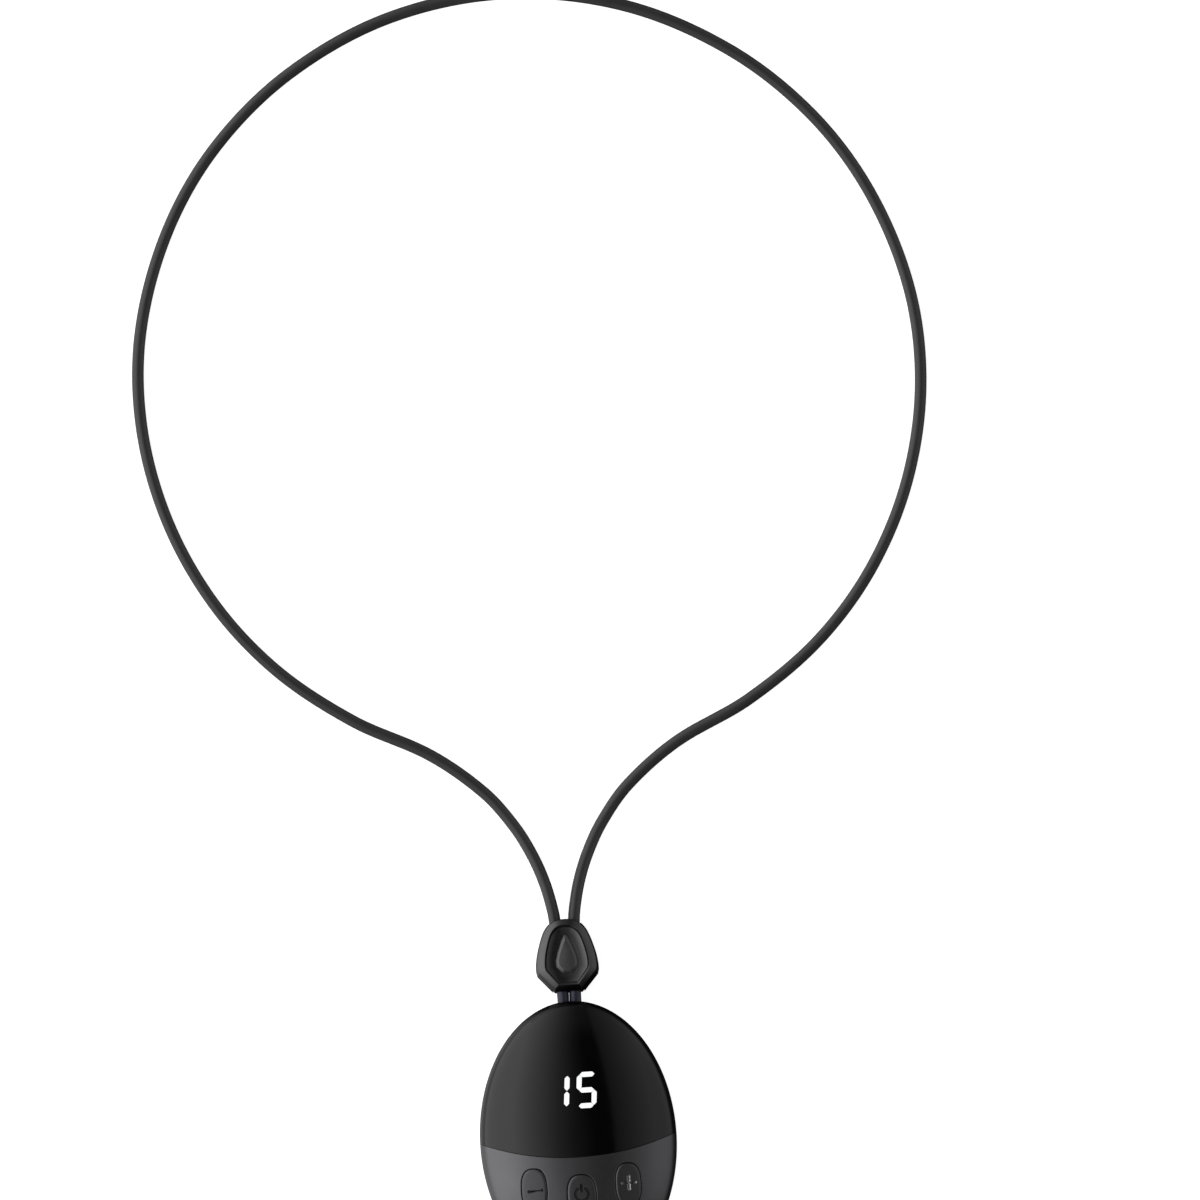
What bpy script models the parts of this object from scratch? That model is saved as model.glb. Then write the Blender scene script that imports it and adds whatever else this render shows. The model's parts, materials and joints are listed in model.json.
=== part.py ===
"""Neck-worn pulse pendant on an adjustable cord.

The pendant lies on its back with its face up (+Z) and its long axis along Y.
The cord loop lies on the same surface, towards +Y. The origin is under the
pendant's centre, on the surface. Lengths are in metres.
"""

import math

import bmesh
import bpy
from mathutils import Matrix, Vector
from mathutils.geometry import interpolate_bezier

MM = 0.001
GAP = 0.3 * MM

# Pendant housing: an ellipse in plan, domed in front, flat with round edges behind.
HALF_WIDTH = 21.5 * MM
HALF_LENGTH = 30.25 * MM
PARTING_Z = 7.2 * MM
FRONT_RISE = 8.8 * MM
BACK_DROP = 6.7 * MM
BACK_FLAT_SHARE = 0.6
DOME_POWER = 2.2
WALL = 1.4 * MM
PLAN_SIDES = 56

# The line between window and panel is an arc that opens upwards.
SEAM_RADIUS = 58.7 * MM
SEAM_LOWEST_Y = -3.8 * MM

# Keys: rounded ovals that travel straight down onto tact switches.
KEY_HALF_LENGTH = 4.6 * MM
SIDE_KEY_HALF_WIDTH = 2.75 * MM
SIDE_KEY_X = 10.3 * MM
SIDE_KEY_Y = -10.4 * MM
MODE_KEY_HALF_WIDTH = 3.1 * MM
MODE_KEY_Y = -12.3 * MM
KEY_PROUD = 0.25 * MM
KEY_FLANGE_Z = (9.9 * MM, 10.5 * MM)
KEY_FOOT_Z = 9.45 * MM
KEY_POWER = 2.6

# Number display: two seven-segment cells, leaning a little to the right.
DIGIT_HEIGHT = 7.9 * MM
DIGIT_WIDTH = 4.45 * MM
DIGIT_PITCH = 6.0 * MM
DIGIT_Y = 10.75 * MM
UNITS_DIGIT_X = 2.5 * MM
STROKE = 1.1 * MM
DIGIT_LEAN = math.radians(5.0)
SEGMENT_GAP = 0.14 * MM
SEGMENT_CLEARANCE = 0.06 * MM
DISPLAY_TOP_Z = 12.5 * MM

# Slots through the rear shell for the cord's sleeve and the charging socket, as half width
# and half height. Their outlines are squarish ovals.
CORD_SLOT = (3.55 * MM, 2.1 * MM)
PORT_SLOT = (4.75 * MM, 1.85 * MM)
SLOT_POWER = 4.0

# Main board and what stands on it. The chip is (x, y) to (x, y), the coil and the buzzer are
# turned pieces.
BOARD_HALF_WIDTH = 17.5 * MM
BOARD_HALF_LENGTH = 24.5 * MM
BOARD_Z = (6.0 * MM, 7.0 * MM)
ON_BOARD_Z = BOARD_Z[1] + 0.02 * MM
SWITCH_TOP_Z = 9.0 * MM
SCREW_X = 11.2 * MM
SCREW_Y = 16.2 * MM
SCREW_RADIUS = 0.65 * MM
SCREW_HOLE_RADIUS = 0.9 * MM
CHIP_CORNERS = ((-5.0 * MM, -4.5 * MM), (1.0 * MM, 1.5 * MM))
CHIP_TOP_Z = 7.95 * MM
COIL_PLACE = (7.0 * MM, -1.5 * MM)
BUZZER_PLACE = (0.0, 20.3 * MM)

# Battery under the board, on its foam pad.
BATTERY_HALF_WIDTH = 9.5 * MM
BATTERY_HALF_LENGTH = 14.6 * MM
BATTERY_Z = (2.6 * MM, 5.6 * MM)
PAD_HALF_WIDTH = 7.0 * MM
PAD_HALF_LENGTH = 12.0 * MM
PAD_Z = (1.95 * MM, 2.5 * MM)

# Electrodes on the back. Their faces are what the pendant rests on.
ELECTRODE_RADIUS = 7.0 * MM
ELECTRODE_Y = 11.5 * MM
ELECTRODE_FACE_THICKNESS = 1.1 * MM
STUD_RADIUS = 1.2 * MM
STUD_Y = 16.8 * MM
STUD_TOP_Z = 2.9 * MM

# Charging socket in the lower end, under the board.
PORT_Z = 4.35 * MM

# Cord, and where it runs through the housing and the slider.
CORD_RADIUS = 1.3 * MM
CORD_Z = 4.0 * MM
STRAND_X = 1.42 * MM
STRAND_START_Y = 25.8 * MM
STRAND_END = (1.85 * MM, 46.2 * MM)
CORD_POINTS = 77

# Slider: a faceted teardrop whose narrow flat end is towards the pendant. The outline is
# given in mm, and each level as its height, its share of the width, and its two ends in Y.
SLIDER_RIGHT_SIDE = [
    (3.1, 31.8), (6.65, 35.8), (6.9, 36.9), (6.85, 38.4), (6.55, 40.3),
    (6.05, 42.2), (5.4, 44.2), (4.5, 46.1), (3.3, 47.4), (1.7, 48.2),
]
SLIDER_ENDS = (31.8, 48.2)
SLIDER_BODY_LEVELS = [
    (2.35, 0.98, 32.0, 48.1), (5.2, 1.0, 31.8, 48.2), (6.9, 0.93, 33.1, 48.0),
    (7.7, 0.71, 33.9, 46.9), (7.0, 0.56, 35.2, 45.8), (6.5, 0.52, 35.6, 45.5),
]
SLIDER_BACK_LEVELS = [
    (0.0, 0.80, 33.6, 46.8), (0.8, 0.93, 32.6, 47.8), (2.05, 0.98, 32.0, 48.1),
]
SLIDER_CENTRE_Y = 40.0 * MM
GROOVE_HALF_WIDTH = 3.45 * MM
GROOVE_TOP_Z = 5.95 * MM
INLAY_RIGHT_SIDE = [
    (1.1, 36.5), (2.35, 37.8), (2.45, 39.2), (1.85, 41.3), (1.05, 43.3), (0.25, 44.8),
]
INLAY_ENDS = (36.5, 44.8)
INLAY_LEVELS = [(6.55, 1.0, 36.5, 44.8), (7.05, 1.0, 36.5, 44.8), (7.45, 0.72, 37.3, 43.7)]

# The right half of the cord loop, from inside the slider to the top of the loop. The loop
# lies a little askew: each point drops by this share of its x.
LOOP_RIGHT_SIDE = [
    (2.0, 46.5, 4.0), (2.35, 50.0, 3.85), (3.75, 56.2, 2.9), (6.0, 62.3, 1.9),
    (9.6, 69.0, 1.4), (15.8, 76.8, 1.33), (27.0, 85.6, 1.33), (43.4, 94.0, 1.33),
    (59.4, 106.0, 1.33), (72.0, 121.2, 1.33), (81.0, 139.8, 1.33),
    (85.3, 160.5, 1.33), (84.2, 181.5, 1.33), (77.0, 203.0, 1.33),
    (65.2, 221.0, 1.33), (48.0, 236.2, 1.33), (25.5, 247.1, 1.33),
]
LOOP_TOP = (0.0, 251.0, 1.33)
LOOP_SKEW = 0.009


def clear_scene():
    """Removes whatever the file opened with."""
    for obj in list(bpy.data.objects):
        bpy.data.objects.remove(obj)


def material(name, colour, roughness, metallic=0.0):
    """A Principled material with one colour."""
    made = bpy.data.materials.new(name)
    made.use_nodes = True
    shader = made.node_tree.nodes["Principled BSDF"]
    shader.inputs["Base Color"].default_value = (*colour, 1.0)
    shader.inputs["Roughness"].default_value = roughness
    shader.inputs["Metallic"].default_value = metallic
    return made


def make_materials():
    """One material for each kind of surface."""
    return {
        "window": material("window_gloss", (0.012, 0.012, 0.013), 0.08),
        "graphite": material("graphite_satin", (0.13, 0.13, 0.135), 0.38, 0.3),
        "key": material("key_black", (0.05, 0.05, 0.052), 0.35),
        "lit": material("segment_white", (0.95, 0.97, 1.0), 0.4),
        "rubber": material("cord_rubber", (0.035, 0.035, 0.037), 0.45),
        "slider": material("slider_satin", (0.05, 0.05, 0.053), 0.3, 0.2),
        "steel": material("electrode_steel", (0.7, 0.7, 0.7), 0.25, 1.0),
        "board": material("board_green", (0.02, 0.16, 0.07), 0.5),
        "chip": material("chip_black", (0.03, 0.03, 0.03), 0.5),
        "copper": material("coil_copper", (0.55, 0.28, 0.12), 0.4, 1.0),
        "cell": material("battery_foil", (0.6, 0.6, 0.62), 0.35, 0.6),
        "foam": material("foam_grey", (0.3, 0.3, 0.3), 0.9),
    }


def object_from_bmesh(name, bm, surface=None):
    """Closes off a bmesh as a linked object with its faces pointing out."""
    bmesh.ops.remove_doubles(bm, verts=bm.verts, dist=0.001 * MM)
    bmesh.ops.recalc_face_normals(bm, faces=bm.faces)
    mesh = bpy.data.meshes.new(name)
    bm.to_mesh(mesh)
    bm.free()
    mesh.shade_smooth()
    mesh.set_sharp_from_angle(angle=math.radians(35))
    if surface is not None:
        mesh.materials.append(surface)
    obj = bpy.data.objects.new(name, mesh)
    bpy.context.scene.collection.objects.link(obj)
    return obj


def oval(half_x, half_y, z, sides, power=2.0, centre=(0.0, 0.0)):
    """Points round a superellipse; power 2 is an ellipse, more is squarer."""
    points = []
    for i in range(sides):
        angle = 2 * math.pi * i / sides
        c, s = math.cos(angle), math.sin(angle)
        x = half_x * math.copysign(abs(c) ** (2 / power), c)
        y = half_y * math.copysign(abs(s) ** (2 / power), s)
        points.append(Vector((centre[0] + x, centre[1] + y, z)))
    return points


def loft_into(bm, rings, ring_of_rings=False):
    """Joins rings of equally many points; the ends are capped unless they meet."""
    rows = [[bm.verts.new(p) for p in ring] for ring in rings]
    pairs = list(zip(rows, rows[1:]))
    if ring_of_rings:
        pairs.append((rows[-1], rows[0]))
    for low, high in pairs:
        count = len(low)
        for i in range(count):
            j = (i + 1) % count
            bm.faces.new((low[i], low[j], high[j], high[i]))
    if not ring_of_rings:
        bm.faces.new(rows[0])
        bm.faces.new(rows[-1])


def loft(name, rings, surface=None, ring_of_rings=False):
    """One object lofted through rings."""
    bm = bmesh.new()
    loft_into(bm, rings, ring_of_rings)
    return object_from_bmesh(name, bm, surface)


def box_into(bm, low, high):
    """A box between two corners."""
    corners = [(low[0], low[1]), (high[0], low[1]), (high[0], high[1]), (low[0], high[1])]
    loft_into(bm, [[Vector((x, y, z)) for x, y in corners] for z in (low[2], high[2])])


def disc_rings(radii_and_heights, sides, centre=(0.0, 0.0)):
    """Rings of a turned piece that stands along Z."""
    return [oval(r, r, z, sides, centre=centre) for r, z in radii_and_heights]


def turned_along_y(half_sizes_and_y, z, sides, power=2.0):
    """Rings of a piece that runs along Y, each an oval of (half width, half height)."""
    rings = []
    for half_x, half_z, y in half_sizes_and_y:
        flat = oval(half_x, half_z, 0.0, sides, power)
        rings.append([Vector((p.x, y, z + p.y)) for p in flat])
    return rings


def cutter(name, bm):
    """An object that only cuts or joins others, and isn't a piece."""
    obj = object_from_bmesh(name, bm)
    obj.hide_render = True
    obj.display_type = "WIRE"
    return obj


def set_origin(obj, place):
    """Moves an object's origin to a point, and leaves its shape where it is."""
    obj.data.transform(Matrix.Translation(-place))
    obj.location = place


def combine(obj, other, operation):
    """Adds an exact Boolean."""
    modifier = obj.modifiers.new(other.name, "BOOLEAN")
    modifier.operation = operation
    modifier.object = other
    modifier.solver = "EXACT"


def dome_share(rho):
    """Height of the front dome at plan radius rho, as a share of its rise."""
    return max(0.0, 1.0 - rho ** DOME_POWER) ** (1.0 / DOME_POWER)


def back_share(rho):
    """Depth of the back at plan radius rho: flat in the middle, then a round edge."""
    edge = max(0.0, (rho - BACK_FLAT_SHARE) / (1.0 - BACK_FLAT_SHARE))
    return max(0.0, 1.0 - edge ** DOME_POWER) ** (1.0 / DOME_POWER)


def front_z(x, y):
    """Height of the front surface over a point."""
    rho = math.hypot(x / HALF_WIDTH, y / HALF_LENGTH)
    return PARTING_Z + FRONT_RISE * dome_share(min(rho, 1.0))


def dome_rings(inset, start_z, steps):
    """Rings up the front dome, from a level just over the parting line to near its top."""
    half_x, half_y = HALF_WIDTH - inset, HALF_LENGTH - inset
    rise = FRONT_RISE - inset
    rings = [oval(half_x, half_y, start_z, PLAN_SIDES)]
    for i in range(1, steps + 1):
        climb = math.radians(90) * i / (steps + 0.6)
        rho = math.cos(climb) ** (2 / DOME_POWER)
        z = PARTING_Z + rise * dome_share(rho)
        rings.append(oval(half_x * rho, half_y * rho, z, PLAN_SIDES))
    return rings


def back_rings(inset, start_z, steps):
    """Rings down the back, from a level just under the parting line to its flat."""
    half_x, half_y = HALF_WIDTH - inset, HALF_LENGTH - inset
    drop = BACK_DROP - inset
    rings = [oval(half_x, half_y, start_z, PLAN_SIDES)]
    for i in range(1, steps + 1):
        turn = math.radians(90) * i / steps
        edge = math.cos(turn) ** (2 / DOME_POWER)
        rho = BACK_FLAT_SHARE + (1 - BACK_FLAT_SHARE) * edge
        z = PARTING_Z - drop * back_share(rho)
        rings.append(oval(half_x * rho, half_y * rho, z, PLAN_SIDES))
    return rings


def dome_shell(name, surface):
    """The whole front as one hollow shell, before it is cut into window and panel."""
    start_z = PARTING_Z + GAP / 2
    outer = dome_rings(0.0, start_z, 7)
    inner = dome_rings(WALL, start_z, 5)
    return loft(name, list(reversed(outer)) + inner, surface)


def seam_disc(name, radius):
    """A tall disc whose lower edge is the seam; what lies inside it is window."""
    centre = (0.0, SEAM_LOWEST_Y + SEAM_RADIUS)
    bm = bmesh.new()
    loft_into(bm, disc_rings([(radius, 0.0), (radius, 20 * MM)], 144, centre))
    return cutter(name, bm)


def key_places():
    """Name, centre and half width of each key."""
    return [
        ("minus_key", (-SIDE_KEY_X, SIDE_KEY_Y), SIDE_KEY_HALF_WIDTH),
        ("mode_key", (0.0, MODE_KEY_Y), MODE_KEY_HALF_WIDTH),
        ("plus_key", (SIDE_KEY_X, SIDE_KEY_Y), SIDE_KEY_HALF_WIDTH),
    ]


def key_outline(centre, half_width, z, grow=0.0):
    """The key's oval, larger by grow."""
    return oval(half_width + grow, KEY_HALF_LENGTH + grow, z, 28, KEY_POWER, centre)


def segment_outlines(grow):
    """The outlines of the lit segments of the number 15, flat, as lists of (x, y)."""
    reach_x = (DIGIT_WIDTH - STROKE) / 2
    reach_y = (DIGIT_HEIGHT - STROKE) / 2
    half = STROKE / 2
    tip = SEGMENT_GAP - grow
    side = half + grow
    upright = {"b": (reach_x, reach_y, 0), "c": (reach_x, 0, -reach_y)}
    upright["f"] = (-reach_x, reach_y, 0)
    level = {"a": reach_y, "g": 0.0, "d": -reach_y}
    outlines = []
    for digit_x, lit in ((UNITS_DIGIT_X - DIGIT_PITCH, "bc"), (UNITS_DIGIT_X, "afgcd")):
        for key in lit:
            if key in level:
                y = level[key]
                run = reach_x - tip
                flat = [(-run, y), (-run + half, y - side), (run - half, y - side),
                        (run, y), (run - half, y + side), (-run + half, y + side)]
            else:
                x, top, low = upright[key]
                top, low = top - tip, low + tip
                flat = [(x, low), (x + side, low + half), (x + side, top - half),
                        (x, top), (x - side, top - half), (x - side, low + half)]
            lean = math.tan(DIGIT_LEAN)
            outlines.append([(digit_x + x + y * lean, DIGIT_Y + y) for x, y in flat])
    return outlines


def segment_prisms(name, grow, low_z, tall_z=None):
    """Upright prisms on the segments; their tops follow the dome, or stop at tall_z."""
    bm = bmesh.new()
    for outline in segment_outlines(grow):
        low = [Vector((x, y, low_z)) for x, y in outline]
        high = [Vector((x, y, tall_z or front_z(x, y) - 0.02 * MM)) for x, y in outline]
        loft_into(bm, [low, high])
    bmesh.ops.triangulate(bm, faces=bm.faces)
    return cutter(name, bm)


def make_front(surfaces):
    """The window, the panel with its key openings, and the frame that carries both."""
    window = dome_shell("front_window", surfaces["window"])
    combine(window, seam_disc("window_keeper", SEAM_RADIUS - GAP / 2), "INTERSECT")
    openings = segment_prisms(
        "segment_openings", SEGMENT_CLEARANCE, DISPLAY_TOP_Z, tall_z=18 * MM
    )
    combine(window, openings, "DIFFERENCE")

    panel = dome_shell("front_panel", surfaces["graphite"])
    combine(panel, seam_disc("panel_remover", SEAM_RADIUS + GAP / 2), "DIFFERENCE")
    bm = bmesh.new()
    for _, centre, half_width in key_places():
        levels = (KEY_FLANGE_Z[1], 18 * MM)
        loft_into(bm, [key_outline(centre, half_width, z, GAP) for z in levels])
    combine(panel, cutter("key_openings", bm), "DIFFERENCE")

    outer = WALL + GAP
    inner = outer + 1.0 * MM
    low_z, high_z = PARTING_Z + 0.9 * MM, PARTING_Z + 2.2 * MM
    rings = []
    for inset, z in ((outer, low_z), (outer, high_z), (inner, high_z), (inner, low_z)):
        share = (z - PARTING_Z) / (FRONT_RISE - inset)
        rho = (1 - share ** DOME_POWER) ** (1 / DOME_POWER)
        half_x, half_y = (HALF_WIDTH - inset) * rho, (HALF_LENGTH - inset) * rho
        rings.append(oval(half_x, half_y, z, PLAN_SIDES))
    loft("front_frame", rings, surfaces["chip"], ring_of_rings=True)


def make_seal(surfaces):
    """The gasket that lies behind the parting line."""
    outer = WALL + 0.25 * MM
    inner = outer + 0.8 * MM
    low_z, high_z = PARTING_Z - 0.5 * MM, PARTING_Z + 0.6 * MM
    rings = []
    for inset, z in ((outer, low_z), (outer, high_z), (inner, high_z), (inner, low_z)):
        rings.append(oval(HALF_WIDTH - inset, HALF_LENGTH - inset, z, PLAN_SIDES))
    loft("seal_ring", rings, surfaces["rubber"], ring_of_rings=True)


def make_rear_shell(surfaces):
    """The back half, with electrode seats, screw bosses, cord slot and port slot."""
    start_z = PARTING_Z - GAP / 2
    outer = back_rings(0.0, start_z, 6)
    inner = back_rings(WALL, start_z, 5)
    shell = loft("rear_shell", list(reversed(outer)) + inner, surfaces["graphite"])

    bm = bmesh.new()
    for x, y in screw_places():
        top = BOARD_Z[0] - 0.1 * MM
        loft_into(bm, disc_rings([(1.5 * MM, 1.6 * MM), (1.5 * MM, top)], 16, (x, y)))
    combine(shell, cutter("screw_bosses", bm), "UNION")

    bm = bmesh.new()
    for x, y in screw_places():
        hole = SCREW_RADIUS + 0.2 * MM
        loft_into(bm, disc_rings([(hole, 2.2 * MM), (hole, 7 * MM)], 12, (x, y)))
    for side in (-1, 1):
        seat = ELECTRODE_RADIUS + GAP
        seat_top = ELECTRODE_FACE_THICKNESS + 0.1 * MM
        centre = (0.0, side * ELECTRODE_Y)
        loft_into(bm, disc_rings([(seat, -MM), (seat, seat_top)], 40, centre))
    combine(shell, cutter("shell_cuts", bm), "DIFFERENCE")

    bm = bmesh.new()
    for side in (-1, 1):
        hole = STUD_RADIUS + GAP
        centre = (0.0, side * STUD_Y)
        loft_into(bm, disc_rings([(hole, 0.6 * MM), (hole, 2.5 * MM)], 16, centre))
    slot = [(*CORD_SLOT, 21 * MM), (*CORD_SLOT, 32 * MM)]
    loft_into(bm, turned_along_y(slot, CORD_Z, 28, SLOT_POWER))
    slot = [(*PORT_SLOT, -32 * MM), (*PORT_SLOT, -20 * MM)]
    loft_into(bm, turned_along_y(slot, PORT_Z, 24, SLOT_POWER))
    combine(shell, cutter("end_cuts", bm), "DIFFERENCE")


def make_keys(surfaces):
    """Three caps with a retaining flange and a foot over each switch."""
    for name, (x, y), half_width in key_places():
        foot, top = KEY_FLANGE_Z
        rings = [
            oval(1.5 * MM, 1.5 * MM, KEY_FOOT_Z, 28, centre=(x, y)),
            oval(1.5 * MM, 1.5 * MM, foot, 28, centre=(x, y)),
            key_outline((x, y), half_width, foot, 0.45 * MM),
            key_outline((x, y), half_width, top, 0.45 * MM),
            key_outline((x, y), half_width, top),
        ]
        crown = ((0.0, 0.0), (-0.35 * MM, KEY_PROUD), (-1.6 * MM, KEY_PROUD + 0.05 * MM))
        for grow, rise in crown:
            ring = key_outline((x, y), half_width, 0.0, grow)
            rings.append([Vector((p.x, p.y, front_z(p.x, p.y) + rise)) for p in ring])
        bm = bmesh.new()
        loft_into(bm, rings)
        bmesh.ops.triangulate(bm, faces=[f for f in bm.faces if len(f.verts) > 4])
        key = object_from_bmesh(name, bm, surfaces["key"])
        set_origin(key, Vector((x, y, KEY_FOOT_Z)))


def screw_places():
    """Centres of the four board screws."""
    return [(sx * SCREW_X, sy * SCREW_Y) for sx in (-1, 1) for sy in (-1, 1)]


def make_board(surfaces):
    """The main board, its screws, and the parts that stand on it."""
    rings = [oval(BOARD_HALF_WIDTH, BOARD_HALF_LENGTH, z, 40) for z in BOARD_Z]
    board = loft("main_board", rings, surfaces["board"])
    bm = bmesh.new()
    for place in screw_places():
        hole = SCREW_HOLE_RADIUS
        loft_into(bm, disc_rings([(hole, 5 * MM), (hole, 8 * MM)], 12, place))
    combine(board, cutter("board_holes", bm), "DIFFERENCE")

    for number, place in enumerate(screw_places(), 1):
        head = BOARD_Z[1] + 0.05 * MM
        profile = [(SCREW_RADIUS, 3.0 * MM), (SCREW_RADIUS, head), (1.4 * MM, head),
                   (1.4 * MM, head + 0.6 * MM), (1.1 * MM, head + 0.9 * MM)]
        loft(f"board_screw_{number}", disc_rings(profile, 12, place), surfaces["steel"])

    for name, centre, _ in key_places():
        body = 1.9 * MM
        shoulder = SWITCH_TOP_Z - 0.5 * MM
        rings = [oval(body, body, z, 12, 8.0, centre) for z in (ON_BOARD_Z, shoulder)]
        rings += disc_rings([(0.9 * MM, shoulder), (0.9 * MM, SWITCH_TOP_Z)], 12, centre)
        loft(name.replace("key", "switch"), rings, surfaces["chip"])

    centre_x = UNITS_DIGIT_X - DIGIT_PITCH / 2
    half_x, half_y = DIGIT_PITCH + 0.6 * MM, DIGIT_HEIGHT / 2 + 0.9 * MM
    low, high = (centre_x - half_x, DIGIT_Y - half_y), (centre_x + half_x, DIGIT_Y + half_y)
    bm = bmesh.new()
    box_into(bm, (*low, ON_BOARD_Z), (*high, DISPLAY_TOP_Z))
    object_from_bmesh("display_module", bm, surfaces["chip"])

    plate_z = (DISPLAY_TOP_Z + 0.05 * MM, DISPLAY_TOP_Z + 0.3 * MM)
    bm = bmesh.new()
    box_into(bm, (*low, plate_z[0]), (*high, plate_z[1]))
    guide = object_from_bmesh("display_light_guide", bm, surfaces["lit"])
    combine(guide, segment_prisms("raised_segments", 0.0, plate_z[0] + 0.1 * MM), "UNION")

    bm = bmesh.new()
    box_into(bm, (*CHIP_CORNERS[0], ON_BOARD_Z), (*CHIP_CORNERS[1], CHIP_TOP_Z))
    object_from_bmesh("controller_chip", bm, surfaces["chip"])

    profile = [(2.6 * MM, ON_BOARD_Z), (2.6 * MM, 7.6 * MM), (1.7 * MM, 7.7 * MM),
               (1.7 * MM, 9.3 * MM), (2.6 * MM, 9.4 * MM), (2.6 * MM, 9.9 * MM)]
    loft("boost_coil", disc_rings(profile, 20, COIL_PLACE), surfaces["copper"])

    profile = [(3.8 * MM, ON_BOARD_Z), (3.8 * MM, 9.2 * MM), (3.4 * MM, 9.5 * MM),
               (0.8 * MM, 9.5 * MM), (0.8 * MM, 9.0 * MM)]
    loft("buzzer", disc_rings(profile, 24, BUZZER_PLACE), surfaces["chip"])


def make_battery(surfaces):
    """A flat cell under the board, on a foam pad."""
    half_x, half_y = BATTERY_HALF_WIDTH, BATTERY_HALF_LENGTH
    edge = 0.4 * MM
    low_z, high_z = BATTERY_Z
    rings = [
        oval(half_x - edge, half_y - edge, low_z, 28, 10.0),
        oval(half_x, half_y, low_z + edge, 28, 10.0),
        oval(half_x, half_y, high_z - edge, 28, 10.0),
        oval(half_x - edge, half_y - edge, high_z, 28, 10.0),
    ]
    loft("battery", rings, surfaces["cell"])
    bm = bmesh.new()
    box_into(bm, (-PAD_HALF_WIDTH, -PAD_HALF_LENGTH, PAD_Z[0]),
             (PAD_HALF_WIDTH, PAD_HALF_LENGTH, PAD_Z[1]))
    object_from_bmesh("battery_pad", bm, surfaces["foam"])


def make_electrodes(surfaces):
    """Two steel discs with a stud each, and the sprung pins between stud and board."""
    for name, side in (("electrode_lower", -1), ("electrode_upper", 1)):
        face = ELECTRODE_FACE_THICKNESS
        profile = [(ELECTRODE_RADIUS - 0.3 * MM, 0.0), (ELECTRODE_RADIUS, 0.3 * MM),
                   (ELECTRODE_RADIUS, face)]
        rings = disc_rings(profile, 40, (0.0, side * ELECTRODE_Y))
        disc = loft(name, rings, surfaces["steel"])
        bm = bmesh.new()
        stud = [(STUD_RADIUS, 0.5 * MM), (STUD_RADIUS, STUD_TOP_Z)]
        loft_into(bm, disc_rings(stud, 16, (0.0, side * STUD_Y)))
        combine(disc, cutter(name + "_stud", bm), "UNION")

        profile = [(0.45 * MM, STUD_TOP_Z + 0.02 * MM), (0.5 * MM, 4.2 * MM),
                   (0.8 * MM, 4.2 * MM), (0.8 * MM, BOARD_Z[0] - 0.02 * MM)]
        rings = disc_rings(profile, 14, (0.0, side * STUD_Y))
        loft(name.replace("electrode", "contact_pin"), rings, surfaces["copper"])


def make_port(surfaces):
    """The charging socket at the lower end, set back from the shell, and its tongue."""
    mouth, pocket_end, back_end = -27.9 * MM, -21.4 * MM, -20.6 * MM
    sizes = [(4.47 * MM, 1.58 * MM, back_end), (4.47 * MM, 1.58 * MM, mouth),
             (4.17 * MM, 1.28 * MM, mouth), (4.17 * MM, 1.28 * MM, pocket_end)]
    loft("charging_port", turned_along_y(sizes, PORT_Z, 28, SLOT_POWER), surfaces["steel"])
    bm = bmesh.new()
    box_into(bm, (-3.3 * MM, mouth + 0.9 * MM, PORT_Z - 0.35 * MM),
             (3.3 * MM, pocket_end - 0.05 * MM, PORT_Z + 0.35 * MM))
    object_from_bmesh("port_tongue", bm, surfaces["chip"])


def make_cord_entry(surfaces):
    """The rubber sleeve in the shell's upper end and the block that holds the ends."""
    sizes = [(3.0, 1.55, 29.9), (3.0, 1.55, 25.8), (3.35, 1.9, 25.8), (3.35, 1.9, 29.5),
             (3.2, 1.75, 29.9)]
    sizes = [(a * MM, b * MM, c * MM) for a, b, c in sizes]
    rings = turned_along_y(sizes, CORD_Z, 28, SLOT_POWER)
    loft("cord_grommet", rings, surfaces["rubber"], ring_of_rings=True)
    bm = bmesh.new()
    anchor_end = STRAND_START_Y - GAP
    box_into(bm, (-3.1 * MM, anchor_end - 3.4 * MM, CORD_Z - 1.25 * MM),
             (3.1 * MM, anchor_end, CORD_Z + 1.25 * MM))
    object_from_bmesh("cord_anchor", bm, surfaces["steel"])


def tube(name, points, surface):
    """A round cord along points."""
    curve = bpy.data.curves.new(name, "CURVE")
    curve.dimensions = "3D"
    curve.bevel_depth = CORD_RADIUS
    curve.bevel_resolution = 2
    curve.use_fill_caps = True
    spline = curve.splines.new("POLY")
    spline.points.add(len(points) - 1)
    for point, place in zip(spline.points, points):
        point.co = (*place, 1.0)
    curve.materials.append(surface)
    obj = bpy.data.objects.new(name, curve)
    bpy.context.scene.collection.objects.link(obj)
    return obj


def smooth_line(route, count):
    """Evenly spaced points along a smooth curve through the route's points."""
    ends = [route[0] * 2 - route[1], *route, route[-1] * 2 - route[-2]]
    dense = []
    for before, start, end, after in zip(ends, ends[1:], ends[2:], ends[3:]):
        span = (end - start).length
        leave = (end - before).normalized() * span / 3
        arrive = (after - start).normalized() * span / 3
        dense += interpolate_bezier(start, start + leave, end - arrive, end, 24)[:-1]
    dense.append(route[-1])
    total = sum((b - a).length for a, b in zip(dense, dense[1:]))
    points, walked, target = [dense[0]], 0.0, 1
    for a, b in zip(dense, dense[1:]):
        step = (b - a).length
        while target < count - 1 and walked + step >= total * target / (count - 1):
            share = (total * target / (count - 1) - walked) / step
            points.append(a.lerp(b, share))
            target += 1
        walked += step
    points.append(dense[-1])
    return points


def loop_route():
    """The whole loop's route, in metres: up the right side, over the top, down the left."""
    right = [Vector(p) * MM for p in LOOP_RIGHT_SIDE]
    left = [Vector((-p.x, p.y, p.z)) for p in reversed(right)]
    route = right + [Vector(LOOP_TOP) * MM] + left
    return [Vector((p.x, p.y - LOOP_SKEW * p.x, p.z)) for p in route]


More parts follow.
